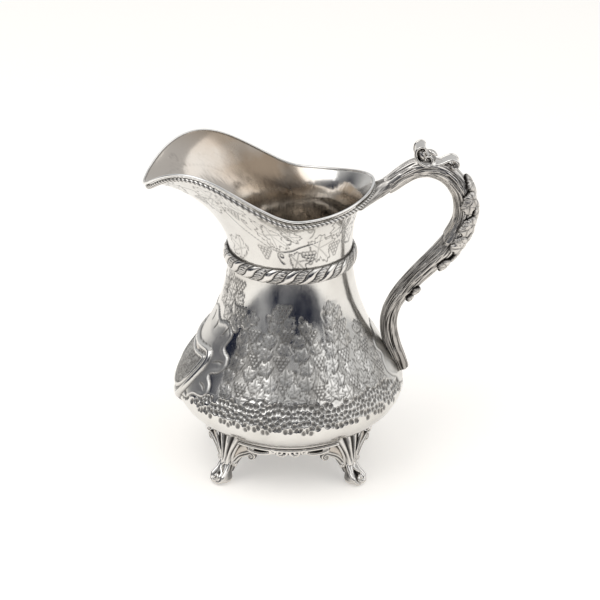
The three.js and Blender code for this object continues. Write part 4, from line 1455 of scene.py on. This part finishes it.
@dataclass
class Handle:
    """The cast branch: grooved bark, a broken joint at its knee, and two roots that grip the neck."""

    form: BranchForm
    rows: int = 380
    sides: int = 150
    strands: int = 22
    groove: float = 0.9
    joint_share: float = 0.47
    joint_step: float = 0.9
    prong_angle: float = 27.0
    prong_level: float = 0.84
    prong_radii: tuple = (4.6, 4.2, 3.2, 1.9)
    prong_sides: int = 40

    def bark(self, share: Array, angle: Array, seed: int) -> Array:
        """Depth of the bark's furrows, from 0 on its ridges to 1.

        Args:
            share: shares of the length.
            angle: angles round the branch.
            seed: picks the wander of the furrows.

        Returns:
            The depth at each place.
        """
        rng = np.random.default_rng(seed)
        depth = np.zeros(np.broadcast(share, angle).shape)
        for k in range(self.strands):
            drift = 0.09 * wander(TAU * share, waves=7, seed=seed + k)
            middle = (k + rng.uniform(-0.25, 0.25)) * TAU / self.strands + drift
            off = half_turn(angle - middle)
            strength = np.clip(0.62 + 0.6 * wander(TAU * share, waves=16, seed=seed + 100 + k), 0.1, 1)
            depth = np.maximum(depth, strength * bell(off, rng.uniform(0.05, 0.085)))
            fine = np.clip(0.9 * wander(TAU * share, waves=20, seed=seed + 200 + k), 0, 0.55)
            depth = np.maximum(depth, fine * bell(off - 0.5 * TAU / self.strands, 0.05))
        return depth

    def build(self) -> None:
        """Builds the branch with its roots."""
        share = np.concatenate([[0], np.linspace(0, 1, self.rows), [1]])[:, None]
        angle = np.linspace(0, TAU, self.sides + 1)[None]
        depth = self.bark(share, angle, seed=31)
        knee = self.joint_share + 0.012 * np.cos(3 * angle)
        step = clamped((share - 0.3) / 0.12) * clamped((knee - share) / 0.008)
        radius = self.form.ridge(share) + 0.25 - self.groove * depth + self.joint_step * step
        radius[[0, -1]] = 0
        places = self.form.place(share, angle, radius)
        reach = np.hypot(places[..., 0], places[..., 1])
        wall = self.form.body.radius_at(places[..., 2]) + SEAT_GAP
        push = np.where((places[..., 2] < self.form.waist_height) & (reach < wall), wall / reach, 1.0)
        places[..., :2] *= push[..., None]
        lap = bell(share - knee - 0.008, 0.01)
        # The branch also grows darker towards its lower end
        oxide = 0.06 + 0.95 * depth + 0.5 * lap + 0.26 * clamped((share - 0.5) / 0.4)
        branch = Piece("jug_handle")
        branch.shell(places, oxide)
        for side in (1, -1):
            self.prong(branch, side)
        branch.finish(CAST, "handle")

    def prong(self, piece: Piece, side: int) -> None:
        """Adds a root that runs from the branch round one side of the neck.

        Args:
            piece: the handle.
            side: 1 for the far side, -1 for the near side.
        """
        grip, tip = self.prong_radii[2:]
        spots = []
        for share_round, radius in ((1 / 3, grip), (1 / 2, 0.8 * grip), (1, 0.8 * tip)):
            angle = side * math.radians(self.prong_angle * share_round)
            place, out, _ = self.form.neck.frames(angle, self.prong_level)
            spots.append(place + radius * out)
        start = self.form.place(0.03, 0.0, 0.0)
        middle = (self.form.place(0.0, 0.0, 0.0) + spots[0]) / 2
        path = smooth_line([start, middle, spots[1], spots[2]], 14)
        tangent = unit(np.gradient(path, axis=0))
        first = unit(np.cross(tangent, (0.0, 0.0, 1.0)))
        second = np.cross(first, tangent)
        u = np.linspace(0, 1, len(path))
        radius = np.interp(u, np.linspace(0, 1, 4), self.prong_radii)
        turn = np.linspace(0, TAU, self.prong_sides + 1)
        depth = self.bark(0.2 * u[:, None] + 0.3, turn[None], seed=37)
        section = round_section(self.prong_sides)
        rings = path[:, None] + (radius[:, None] * (1.04 - 0.16 * depth))[..., None] * (
            section[None, :, :1] * first[:, None] + section[None, :, 1:] * second[:, None]
        )
        piece.shell(capped(rings, path), 0.25 + 0.7 * np.pad(depth, ((1, 1), (0, 0)), mode="edge"))


@dataclass
class VineLeaves:
    """The cast vine leaves that climb the back of the branch."""

    form: BranchForm
    rows: int = 7
    first_share: float = 0.275
    row_share: float = 0.037
    pair_angle: float = 48.0
    size: float = 7.6
    lobing: float = 0.36
    thickness: float = 0.9
    crown: float = 2.3
    rib_width: float = 0.4
    flute_pitch: float = 1.9
    seed: int = 41
    small: tuple = (
        (0.4, 70, 6.6), (0.325, 72, 7), (0.445, 60, 6.4), (0.535, 40, 6.6), (0.665, 34, 4.8),
        (0.7, 30, 4.2),
    )

    def leaf(self, name: str, share: float, angle: float, size: float, turn: float, *nodes: str) -> None:
        """Builds a leaf.

        Args:
            name: its name.
            share: share of the branch's length at its middle.
            angle: angle round the branch, from its back.
            size: its length from the root of its veins.
            turn: direction of its tip, in radians from the way down the branch.
            nodes: the CAD nodes that it stands for.
        """
        spoke = np.linspace(0, TAU, 97)[:, None]
        face = np.linspace(0, 1, 15)
        out = np.concatenate([face, np.linspace(1, 0, 5)])[None]
        edge = leaf_form(np.cos(spoke), np.sin(spoke), self.lobing)[1]
        along, across = edge * out * np.cos(spoke), edge * out * np.sin(spoke)
        part, _, vein = leaf_form(along, across, self.lobing)
        rib = bell(vein * size, self.rib_width) * (part < 0.96)
        flute = 0.5 + 0.5 * np.cos(TAU * vein * size / self.flute_pitch)
        dome = np.sqrt(clamped(1 - out**2))
        top = self.thickness + self.crown * (0.3 + 0.7 * dome) - 0.55 * rib + 0.25 * flute * part - 0.5 * part**6
        height = np.where(np.arange(out.size)[None] < len(face), top, 0.1)
        u = size * (along * math.cos(turn) - across * math.sin(turn))
        v = size * (along * math.sin(turn) + across * math.cos(turn))
        ridge = self.form.ridge(np.array(share))
        places = self.form.place(
            share + u / self.form.lengths[-1], math.radians(angle) + v / (ridge + 1), ridge + SEAT_GAP + height
        )
        made = Piece(name)
        made.shell(places, 0.03 + 0.55 * rib + 0.2 * (1 - flute) * part + 0.95 * part**12)
        made.finish(LEAFY, *nodes)

    def build(self) -> None:
        """Builds the leaves, in single and paired rows, and the small ones beside and below them."""
        rng = np.random.default_rng(self.seed)
        number = 1
        for row in range(self.rows):
            for angle in (self.pair_angle, -self.pair_angle) if row % 2 else (0.0,):
                share = self.first_share + self.row_share * row
                size = self.size + rng.uniform(-0.5, 0.5)
                turn = math.radians(angle) * 0.6 + rng.uniform(-0.5, 0.5)
                self.leaf(f"vine_leaf_{number}_dressed", share, angle, size, turn, f"vine_leaf_{number}")
                number += 1
        for number, (share, angle, size) in enumerate(self.small, 1):
            self.leaf(f"vine_leaf_small_{number}", share, angle, size, rng.uniform(-0.5, 0.5))


@dataclass
class ThumbScroll:
    """The cast thumb piece: a C-scroll, a ribbon that rolls over behind it, a bud and the saddle under them."""

    branch: BranchForm
    crest: float = 218.6
    sheet: float = 1.1
    width: float = 12.4
    roll: float = 0.85
    bright_tone: float = 0.02
    face_tone: float = 0.03
    hollow_tone: float = 0.5
    cheek: tuple = ((-2.9, 0, 3.1), (5.6, 5.6, 3.3))
    cheek_tilt: float = 62.0
    cheek_tone: float = 0.2
    eye_radius: float = 1.15
    eye_proud: float = 0.35
    upper_eye: tuple = (-2.7, 7.2)
    lower_eye: tuple = (0.65, 1.05)
    tail_eye: tuple = (18.2, -3.2)
    scroll: tuple = (
        (-2.6, 5.5), (-1.1, 6.5), (-0.9, 8), (-2.1, 9.4), (-4.5, 9.2), (-6.6, 7.5), (-7.3, 4.7),
        (-6.7, 1.6), (-4.7, -1.1), (-2.1, -3), (0.4, -3.5), (2.7, -2.4), (3.75, 0.1), (2.9, 2.4), (1.1, 3.2),
        (-0.8, 2.2), (-0.9, 0.5),
    )
    band: tuple = (
        (3.2, -2.6), (5.6, -3.2), (10, -2.2), (13.8, -0.4), (17, 0.5), (20, -0.8), (20.9, -3.4), (19.6, -5.4),
        (17.6, -5.4), (16.5, -3.8),
    )
    bud_place: tuple = (4, -2.2, 4.6)
    bud_size: tuple = (3.9, 2.7, 1.5)
    bud_tilt: float = 32.0
    bud_crease: float = 0.35
    saddle: tuple = ((0.6, 0, 0.3), (6, 5, 1.6))

    def clear(self, places: Array) -> Array:
        """Places moved out to the branch's surface where they would reach into it.

        Args:
            places: the places.

        Returns:
            The places, clear of the branch.
        """
        line = self.branch.line
        nearest = np.hypot(places[..., 0, None] - line[:, 0], places[..., 2, None] - line[:, 1]).argmin(axis=-1)
        middle = joined([line[nearest, 0], 0 * nearest, line[nearest, 1]])
        arm = places - middle
        reach = np.linalg.norm(arm, axis=-1)
        seat = self.branch.ridge(self.branch.lengths[nearest] / self.branch.lengths[-1]) + SEAT_GAP
        return middle + arm * np.maximum(seat / np.maximum(reach, 1e-6), 1.0)[..., None]

    def ribbon(self, piece: Piece, line: Array, width: float, hollow: int) -> None:
        """Adds a ribbon with rolled edges.

        Args:
            piece: the thumb piece.
            line: its line, as distances and heights from the crest.
            width: its width.
            hollow: which face lies inside its curls and has darkened, 1 for the left and -1 for the right.
        """
        normal = left_normals(line)
        flat = np.zeros(len(line))
        path = joined([line[:, 0] + self.branch.top[0], flat, line[:, 1] + self.crest])
        first = joined([normal[:, 0], flat, normal[:, 1]])
        turn = np.linspace(0, TAU, 41)
        cosine, sine = np.cos(turn), np.sin(turn)
        thick = self.sheet / 2 * np.sign(cosine) * np.abs(cosine) ** 0.6 * (0.6 + 0.7 * np.abs(sine) ** 3)
        rings = path[:, None] + thick[None, :, None] * first[:, None]
        rings[..., 1] = np.sign(sine) * np.abs(sine) ** 0.4 * width / 2
        tone = self.face_tone + self.hollow_tone * clamped(hollow * cosine * 2.5 - 0.6)
        piece.shell(self.clear(capped(rings, path)), tone)
        across = np.broadcast_to((0.0, 1.0, 0.0), path.shape)
        size = self.roll * eased(len(path), (0, 0.65), (0.25, 1), (0.75, 1), (1, 0.65))
        for side in (width / 2, -width / 2):
            places = sweep(path + side * across, first, across, round_section(), size)
            piece.shell(self.clear(places), self.bright_tone)

    def lump(self, place: tuple, size: tuple, tilt: float = 0.0, crease: float = 0.0) -> tuple[Array, Array]:
        """An egg-shaped lump of the casting.

        Args:
            place: its middle, from the crest.
            size: half its length, width and height.
            tilt: how far its tail end dips, in degrees.
            crease: depth of the crease along its top.

        Returns:
            Its places, and how near each is to the crease.
        """
        turn = np.linspace(0, TAU, 33)[:, None]
        drop = np.linspace(0, math.pi, 19)[None]
        along = size[0] * np.cos(drop) + 0 * turn
        girth = np.sin(drop) ** (1.5 if crease else 1.0)
        across = size[1] * girth * np.sin(turn)
        mid = bell(across, 0.45) * girth
        height = size[2] * girth * np.cos(turn) - crease * mid
        lean = math.radians(tilt)
        x = along * math.cos(lean) + height * math.sin(lean) + place[0] + self.branch.top[0]
        z = height * math.cos(lean) - along * math.sin(lean) + place[2] + self.crest
        return self.clear(joined([x, across + place[1], z])), mid

    def build(self) -> None:
        """Builds the thumb piece."""
        piece = Piece("thumb_piece")
        self.ribbon(piece, smooth_line(self.scroll, 7), self.width, 1)
        self.ribbon(piece, smooth_line(self.band, 7), self.width - 2, -1)
        half = self.width / 2
        for (x, z), reach in ((self.upper_eye, half), (self.lower_eye, half), (self.tail_eye, half - 1)):
            eye = self.lump((x, 0.0, z), (self.eye_radius, reach + self.eye_proud, self.eye_radius))[0]
            piece.shell(eye, self.bright_tone)
        bud, crease = self.lump(self.bud_place, self.bud_size, self.bud_tilt, self.bud_crease)
        piece.shell(bud, 0.8 * crease)
        piece.shell(self.lump(*self.saddle)[0], self.hollow_tone)
        piece.shell(self.lump(*self.cheek, tilt=self.cheek_tilt)[0], self.cheek_tone)
        piece.finish(CARVED, "thumb_scroll")


def wrapped(line: Array, radius: float, section: Array, scale: Values = 1.0, out: Values = 0.0) -> Array:
    """A section carried along a line that is wrapped round the jug's axis.

    Args:
        line: the line's places, as distance sideways and height.
        radius: how far from the axis it is wrapped.
        section: the section, outwards from the axis and across the line.
        scale: size of the section at each place.
        out: how far outside the radius each place is set.

    Returns:
        The places of a shell.
    """
    around = line[:, 0] / radius
    normal = left_normals(line)
    outwards = ringed(1.0, around, 0.0)
    sideways = joined([-outwards[:, 1], outwards[:, 0], 0 * around])
    across = normal[:, :1] * sideways + normal[:, 1:] * np.array([0.0, 0.0, 1.0])
    return sweep(ringed(radius + out, around, line[:, 1]), outwards, across, section, scale)


# Two beads side by side, facing outwards: the section of the feet's scroll brackets and its tones, with oxide in the
# groove between the beads and painted shade on the sides and back of the section
TWIN_BEAD = np.array(
    [(-1.0, -1.0), (0.3, -1.0), (0.85, -0.85), (1.0, -0.55), (0.85, -0.22), (0.5, 0.0), (0.85, 0.22), (1.0, 0.55),
     (0.85, 0.85), (0.3, 1.0), (-1.0, 1.0), (-1.0, -1.0)]
)
TWIN_BEAD_OXIDE_AND_SHADE = np.array([0.9, 0.75, 0.25, 0.02, 0.5, 0.97, 0.5, 0.02, 0.25, 0.75, 0.9, 0.9])


class Casting:
    """A small casting under the bowl, one of four round the jug."""

    def shape(self, piece: Piece) -> None:
        """Adds the casting's shells, where it would stand under the handle."""
        raise NotImplementedError

    def build(self, node_name: str, degrees: float) -> None:
        """Builds one of the four.

        Args:
            node_name: the CAD node that it stands for.
            degrees: its direction from the handle.
        """
        piece = Piece(f"{node_name}_dressed")
        self.shape(piece)
        piece.turned(degrees)
        piece.finish(CARVED, node_name)


@dataclass
class Foot(Casting):
    """A cast foot: a fluted knee, a drawn-in ankle, a toe like a spoon between scrolls, and two brackets."""

    body: BodyForm
    radius: float = 61.5
    sections: tuple = (
        (0, 0, 4.4, 4.6), (1.2, 1.3, 6, 6), (2.6, 1.8, 7, 6.6), (5.6, 1.8, 6.8, 6.2), (8.8, 0, 4.4, 4.6),
        (13, -1.6, 2.9, 4), (18, -2.6, 2.3, 4.8), (23, -3.4, 2, 6.8), (28, -4.6, 1.9, 9.8),
        (33, -6.4, 2, 12.8), (38, -8.4, 2.3, 14), (43, -10.7, 2.6, 15),
    )
    bracket: tuple = ((2.6, 7), (5, 13), (11, 21.6), (19, 26.6))
    web_top: tuple = ((4.2, 15.5), (6.6, 22.5), (10, 28.5), (15.5, 33))
    bracket_radius: float = 58.1
    bracket_curl: tuple = ((19.9, 24.2), 2.5, 0.7, math.radians(107), -1.15, 26)
    ankle: float = 14.0
    top: float = 43.0
    flutes: float = 1.75
    flute_depth: float = 1.5
    dish_depth: float = 3.0
    curl_stem: tuple = ((1.4, 14.6), (-0.6, 12), (0.6, 9.8), (3, 7.6))
    toe_curl: tuple = ((0.3, 5), 2.9, 0.8, 0.5, -1.35, 30)
    toe_scroll: tuple = ((83, 14.5), (70, 10.5), (58, 7), (46, 4.2), (30, 2.6), (14, 2.4), (10, 3.6), (16, 4.6))
    knuckle: tuple = ((11.5, 31.5), (8.6, 26), (6.2, 20.5), (5.4, 16))
    knuckle_curl: tuple = ((7.2, 14.6), 2, 0.8, 2.6, 1.1, 18)

    def shape(self, piece: Piece) -> None:
        """Adds the leg, the curl in its toe and the scrolls on both sides.

        Args:
            piece: the foot.
        """
        self.leg(piece)
        self.curl(piece)
        for side in (1, -1):
            self.scrolls(piece, side)

    def girth(self, z: Array) -> list[Array]:
        """How far out the leg's middle stands at heights, and half its depth and width there."""
        levels, *measures = np.array(self.sections).T
        return [np.interp(z, levels, measure) for measure in measures]

    def leg(self, piece: Piece) -> None:
        """Adds the knee, ankle and toe.

        Args:
            piece: the foot.
        """
        z = np.concatenate([np.linspace(0, self.ankle, 30)[:-1], np.linspace(self.ankle, self.top, 44)])[None]
        turn = np.linspace(-math.pi, math.pi, 97)[:, None]
        out, deep, wide = self.girth(z)
        across = np.sin(turn)
        front = clamped(np.cos(turn) * 2)
        knee = clamped((z - self.ankle) / 7)
        ridge = 0.5 + 0.5 * np.cos(TAU * self.flutes * across)
        toe = bell(z - 6.5, 4.0) * front
        dish = toe * bell(across, 0.42)
        lobe = toe * bell(np.abs(across) - 0.75, 0.22)
        crease = toe * bell(np.abs(across) - 0.5, 0.1)
        relief = front * knee * self.flute_depth * (ridge**0.6 - 0.7) - self.dish_depth * dish + 0.7 * lobe
        reach = self.radius + out + (deep + relief) * np.cos(turn)
        places = self.body.under(joined([reach, (wide + 0.4 * lobe) * across, z + 0 * turn]))
        oxide = 0.04 + front * knee * np.clip(1.25 * (1 - ridge) - 0.15, 0, 0.93) + 1.1 * dish + 0.8 * crease
        # Painted shade: the sides and back of the leg, turned away from the light and under the bowl, are darker
        oxide = oxide + 0.6 * (1 - front) * (z > 3)
        rings = places.swapaxes(0, 1)
        shape = capped(rings, rings.mean(axis=1)).swapaxes(0, 1)
        piece.shell(shape, np.pad(oxide, ((0, 0), (1, 1)), mode="edge"))

    def bead(self, piece: Piece, turn: Array, z: Array, size: Array, tone: float, sunk: Values = 0.0) -> None:
        """Adds a round bead that follows the leg's surface.

        Args:
            piece: the foot.
            turn: angles round the leg along the bead, from its front.
            z: heights along it.
            size: its radius at each place.
            tone: its oxide.
            sunk: how far it is sunk into the leg.
        """
        out, deep, wide = self.girth(z)
        path = joined([self.radius + out + deep * np.cos(turn) - sunk, wide * np.sin(turn), z])
        tangent = unit(np.gradient(path, axis=0))
        across = unit(np.cross(tangent, ringed(1.0, turn, 0.0)))
        path[:, 2] = np.maximum(path[:, 2], size)
        piece.shell(sweep(path, np.cross(across, tangent), across, round_section(), size), tone)

    def curl(self, piece: Piece) -> None:
        """Adds the curl in the hollow of the toe, on a stem that comes down from the ankle.

        Args:
            piece: the foot.
        """
        line = np.vstack([smooth_line(self.curl_stem, 6)[:-1], volute(*self.toe_curl)])
        z = np.maximum(line[:, 1], 1.5)
        turn = np.arcsin(np.clip(line[:, 0] / self.girth(z)[2], -0.9, 0.9))
        sunk = eased(len(z), (0, 0.3), (0.3, 0.3), (0.6, 0.7), (1, 1.5))
        size = eased(len(z), (0, 0.8), (0.3, 1.25), (0.8, 1.1), (1, 1.2))
        self.bead(piece, turn, z, size, 0.02, sunk)

    def scrolls(self, piece: Piece, side: int) -> None:
        """Adds the toe's scroll, the knuckle at the ankle and the bracket on one side.

        Args:
            piece: the foot.
            side: 1 or -1.
        """
        degrees, z = smooth_line(self.toe_scroll, 6).T
        size = eased(len(z), (0, 1.1), (0.35, 1.7), (0.8, 1.3), (1, 1.1))
        self.bead(piece, side * np.radians(degrees), z, size, 0.12)
        knuckle = np.vstack([smooth_line(self.knuckle, 6)[:-1], volute(*self.knuckle_curl)])
        size = np.interp(np.arange(len(knuckle)), [0, 12, len(knuckle)], [0.7, 1.1, 1.0])
        places = wrapped(knuckle * (side, 1), self.radius - 2.2, round_section(), size)
        piece.shell(self.body.under(places), 0.15)
        line, top = smooth_line(self.bracket, 8), smooth_line(self.web_top, 8)
        rise = np.concatenate([np.linspace(0, 1, 9), np.linspace(1, 0, 9)[1:]])
        ends = np.sin(math.pi * np.linspace(0, 1, len(line))) ** 0.4
        bulge = np.concatenate([np.ones(9), -np.ones(8)]) * np.sin(math.pi * rise) ** 0.5
        spread = line[:, None] + (top - line)[:, None] * rise[None, :, None]
        reach = self.bracket_radius + 0.9 * ends[:, None] * bulge[None]
        web = ringed(reach, side * spread[..., 0] / self.bracket_radius, spread[..., 1])
        # Painted shade: the web darkens along both its edges
        piece.shell(self.body.under(web), 0.08 + 0.75 * (1 - np.sin(math.pi * rise) ** 0.7), 0.5)
        line = np.vstack([line[:-1], volute(*self.bracket_curl)]) * (side, 1)
        size = np.interp(np.arange(len(line)), [0, 8, 24, len(line)], [1.3, 1.9, 1.7, 1.0])
        piece.shell(self.body.under(wrapped(line, self.bracket_radius, TWIN_BEAD, size)), TWIN_BEAD_OXIDE_AND_SHADE)


@dataclass
class Apron(Casting):
    """A cast apron between two feet: a bar of beads over a swag with two pairs of scrolls in its middle."""

    body: BodyForm
    radius: float = 55.0
    half: float = 30.7
    flare: float = 6.0
    rise: float = 4.2
    bar_low: float = 29.8
    beads: tuple = ((0.8, 1.9, 1.25, 0.04), (2.4, 0.9, 1.1, 0.9), (4, 2.3, 1.25, 0.04))
    ground: tuple = (22, 28.6, 1.7)
    # Near-black painted shade on the plate behind the swag, standing in for the shadowed openings between the scrolls
    backing_shade_tone: float = 0.96
    inner: tuple = ((0.4, 31), (1.2, 28.6), (3.2, 27), (5.6, 27))
    inner_curl: tuple = ((5.2, 29.3), 2.3, 0.7, math.radians(-80), 1.1, 24)
    swag: tuple = ((12.2, 28), (16, 26.9), (20.5, 26.6), (25, 27.6))
    swag_curl: tuple = ((9.9, 29.6), 2, 0.6, math.radians(-40), 1.2, 24)

    def shape(self, piece: Piece) -> None:
        """Adds the bar of beads, the near-black ground behind the swag, which is painted shade, and the scrolls on
        both sides.

        Args:
            piece: the apron.
        """
        along = np.linspace(-self.half, self.half, 61)
        shade = 0.9 * clamped(1 - 1.4 * np.abs(np.sin(np.linspace(0, TAU, 15) / 2 + math.pi / 2)))
        for lift, out, size, tone in self.beads:
            line = joined([along, self.bar_low + lift + 0 * along])
            piece.shell(self.carried(line, out, round_section(), size), tone + shade)
        wide, level, tall = self.ground
        line = joined([np.linspace(-wide, wide, 25), np.full(25, level)])
        plate = np.array([(-0.6, -tall), (0.6, -tall), (0.6, tall), (-0.6, tall), (-0.6, -tall)])
        # The plate behind the swag is near-black with painted shade
        piece.shell(self.carried(line, 0.2, plate), self.backing_shade_tone)
        for side in (1, -1):
            self.scrolls(piece, side)

    def carried(self, line: Array, out: float, section: Array, scale: float = 1.0) -> Array:
        """A section carried along a line on the apron, whose ends follow the bowl out and up.

        Args:
            line: the line's places, as distance sideways and height.
            out: how far outside the apron's face it lies.
            section: the section, outwards and across the line.
            scale: size of the section.

        Returns:
            The places of a shell, clear of the bowl.
        """
        spread = (line[:, 0] / self.half) ** 2
        lifted = joined([line[:, 0], line[:, 1] + self.rise * spread])
        return self.body.under(wrapped(lifted, self.radius, section, scale, out + self.flare * spread))

    def scrolls(self, piece: Piece, side: int) -> None:
        """Adds the swag and the pair of scrolls on one side of the middle.

        Args:
            piece: the apron.
            side: 1 or -1.
        """
        first = np.vstack([smooth_line(self.inner, 7), volute(*self.inner_curl)])
        second = np.vstack([volute(*self.swag_curl)[::-1], smooth_line(self.swag, 8)])
        for line, size in ((first, 1.05), (second, 1.2)):
            piece.shell(self.carried(line * (side, 1), 2.0, round_section(), size), 0.03)


@dataclass
class Studio:
    """A plain white table under soft light, with the camera at the photograph's angle."""

    look_at: tuple = (6.81, 0.0, 115.28)
    elevation: float = 25.5
    distance: float = 1200.0
    sight: float = 20.0
    sensor: float = 36.0
    lens: float = 106.56
    roll: float = 0.55
    table_half: float = 3.0
    table_edge: float = 0.46
    table_glow: float = 0.3
    table_paint: str = "f4f0ea"
    white: str = "ffffff"
    room: str = "eff0f1"
    room_strength: float = 0.8
    dark_side: str = "1e2439"
    dark_height: tuple = (0.24, 0.64)
    dark_start: tuple = (-2.5, -1.9)
    dark_end: tuple = (0.78, 0.95)
    dark_cloud: tuple = (0.3, 0.6)
    cloud_scale: float = 2.4
    gap_turn: float = 0.8
    gap_width: tuple = (0.02, 0.35)
    lamps: tuple = (("key", (-0.9, -0.5, 1.5), 1.5, 11.0), ("fill", (1.0, -0.6, 1.1), 1.4, 5.0))

    def camera(self) -> None:
        """Sets the camera."""
        data = bpy.data.cameras.new("camera")
        data.sensor_width = self.sensor
        data.lens = self.lens
        data.clip_end = self.sight
        made = placed("camera", data)
        x, y, z = self.look_at
        tilt = math.radians(self.elevation)
        away = Vector((0, -math.cos(tilt), math.sin(tilt))) * self.distance * MM
        made.location = Vector((x * MM + AXIS_X, y * MM, z * MM)) + away
        look = (-away).to_track_quat("-Z", "Y").to_matrix() @ Matrix.Rotation(math.radians(self.roll), 3, "Z")
        made.rotation_euler = look.to_euler()
        bpy.context.scene.camera = made

    def table(self) -> None:
        """Sets the table, whose matt white paint glows a little in the camera's view and in reflections."""
        work = bmesh.new()
        bmesh.ops.create_grid(work, x_segments=1, y_segments=1, size=self.table_half)
        bmesh.ops.translate(work, verts=work.verts, vec=(0, self.table_half - self.table_edge, 0))
        mesh = bpy.data.meshes.new("table")
        work.to_mesh(mesh)
        work.free()
        paint = bpy.data.materials.new("white_table")
        add = nodes_of(paint)
        path = add("LightPath").node.outputs
        matt = add("BsdfDiffuse", {"Color": linear(self.table_paint)})
        glow = add("Emission", {"Color": linear(self.white), "Strength": self.table_glow})
        lit = add("AddShader", {0: matt, 1: glow})
        seen = add("Math", {0: path["Is Camera Ray"], 1: path["Is Glossy Ray"]}, operation="MAXIMUM")
        seen = add("Math", {0: seen, 1: path["Is Transmission Ray"]}, operation="MAXIMUM")
        add("OutputMaterial", {"Surface": add("MixShader", {0: seen, 1: matt, 2: lit})})
        mesh.materials.append(paint)
        placed("table", mesh)

    def light(self) -> None:
        """Sets the lamps, and the room's light with the dark side that the silver reflects."""
        scene = bpy.context.scene
        scene.view_settings.view_transform = "Standard"
        scene.world = bpy.data.worlds.new("room")
        add = nodes_of(scene.world)
        way = add("TexCoord", output="Generated")
        x, y, z = add("SeparateXYZ", {0: way}).node.outputs
        turn = add("Math", {0: x, 1: add("Math", {0: y, 1: -1.0}, operation="MULTIPLY")}, operation="ARCTAN2")
        cloud = add("TexNoise", {"Vector": way, "Scale": self.cloud_scale, "Detail": 1.0}, "Fac")
        off = add("Math", {0: add("Math", {0: turn, 1: self.gap_turn}, operation="ADD")}, operation="ABSOLUTE")
        dark = add("MapRange", dict(enumerate((off, *self.gap_width, 0.5, 1.0))))
        for value, span, low, high in (
            (z, self.dark_height, 1.0, 0.0), (turn, self.dark_start, 0.0, 1.0),
            (turn, self.dark_end, 1.0, 0.0), (cloud, self.dark_cloud, 0.8, 1.0),
        ):
            ramp = add("MapRange", dict(enumerate((value, *span, low, high))), interpolation_type="SMOOTHSTEP")
            dark = add("Math", {0: dark, 1: ramp}, operation="MULTIPLY")
        tones = {FACTOR: dark, FIRST: linear(self.room), SECOND: linear(self.dark_side)}
        room = add("Background", {"Color": add("Mix", tones, MIXED, data_type="RGBA"), "Strength": self.room_strength})
        white = add("Background", {"Color": linear(self.white), "Strength": 1.0})
        seen = add("LightPath", output="Is Camera Ray")
        add("OutputWorld", {"Surface": add("MixShader", {0: seen, 1: room, 2: white})})
        for name, place, size, power in self.lamps:
            data = bpy.data.lights.new(name, "AREA")
            data.size = size
            data.energy = power
            lamp = placed(name, data)
            lamp.location = place
            lamp.rotation_euler = (-Vector(place) + Vector((0, 0, 0.1))).to_track_quat("-Z", "Y").to_euler()


FEET = {"foot_rear_far": 45, "foot_front_far": 135, "foot_front_near": 225, "foot_rear_near": 315}
APRONS = {"apron_rear": 0, "apron_far": 90, "apron_front": 180, "apron_near": 270}


def main() -> None:
    """Builds the studio and the jug, piece by piece."""
    logging.basicConfig(level=logging.INFO, format="%(name)s %(message)s")
    studio = Studio()
    studio.camera()
    studio.table()
    studio.light()
    body = BodyForm()
    neck = NeckForm(body)
    branch = BranchForm(body, neck)
    for assembly in (Body(body), Neck(neck), Collar(body), Handle(branch), VineLeaves(branch), ThumbScroll(branch)):
        assembly.build()
    for casting, directions in ((Foot(body), FEET), (Apron(body), APRONS)):
        for name, degrees in directions.items():
            casting.build(name, degrees)


if __name__ == "__main__":
    main()
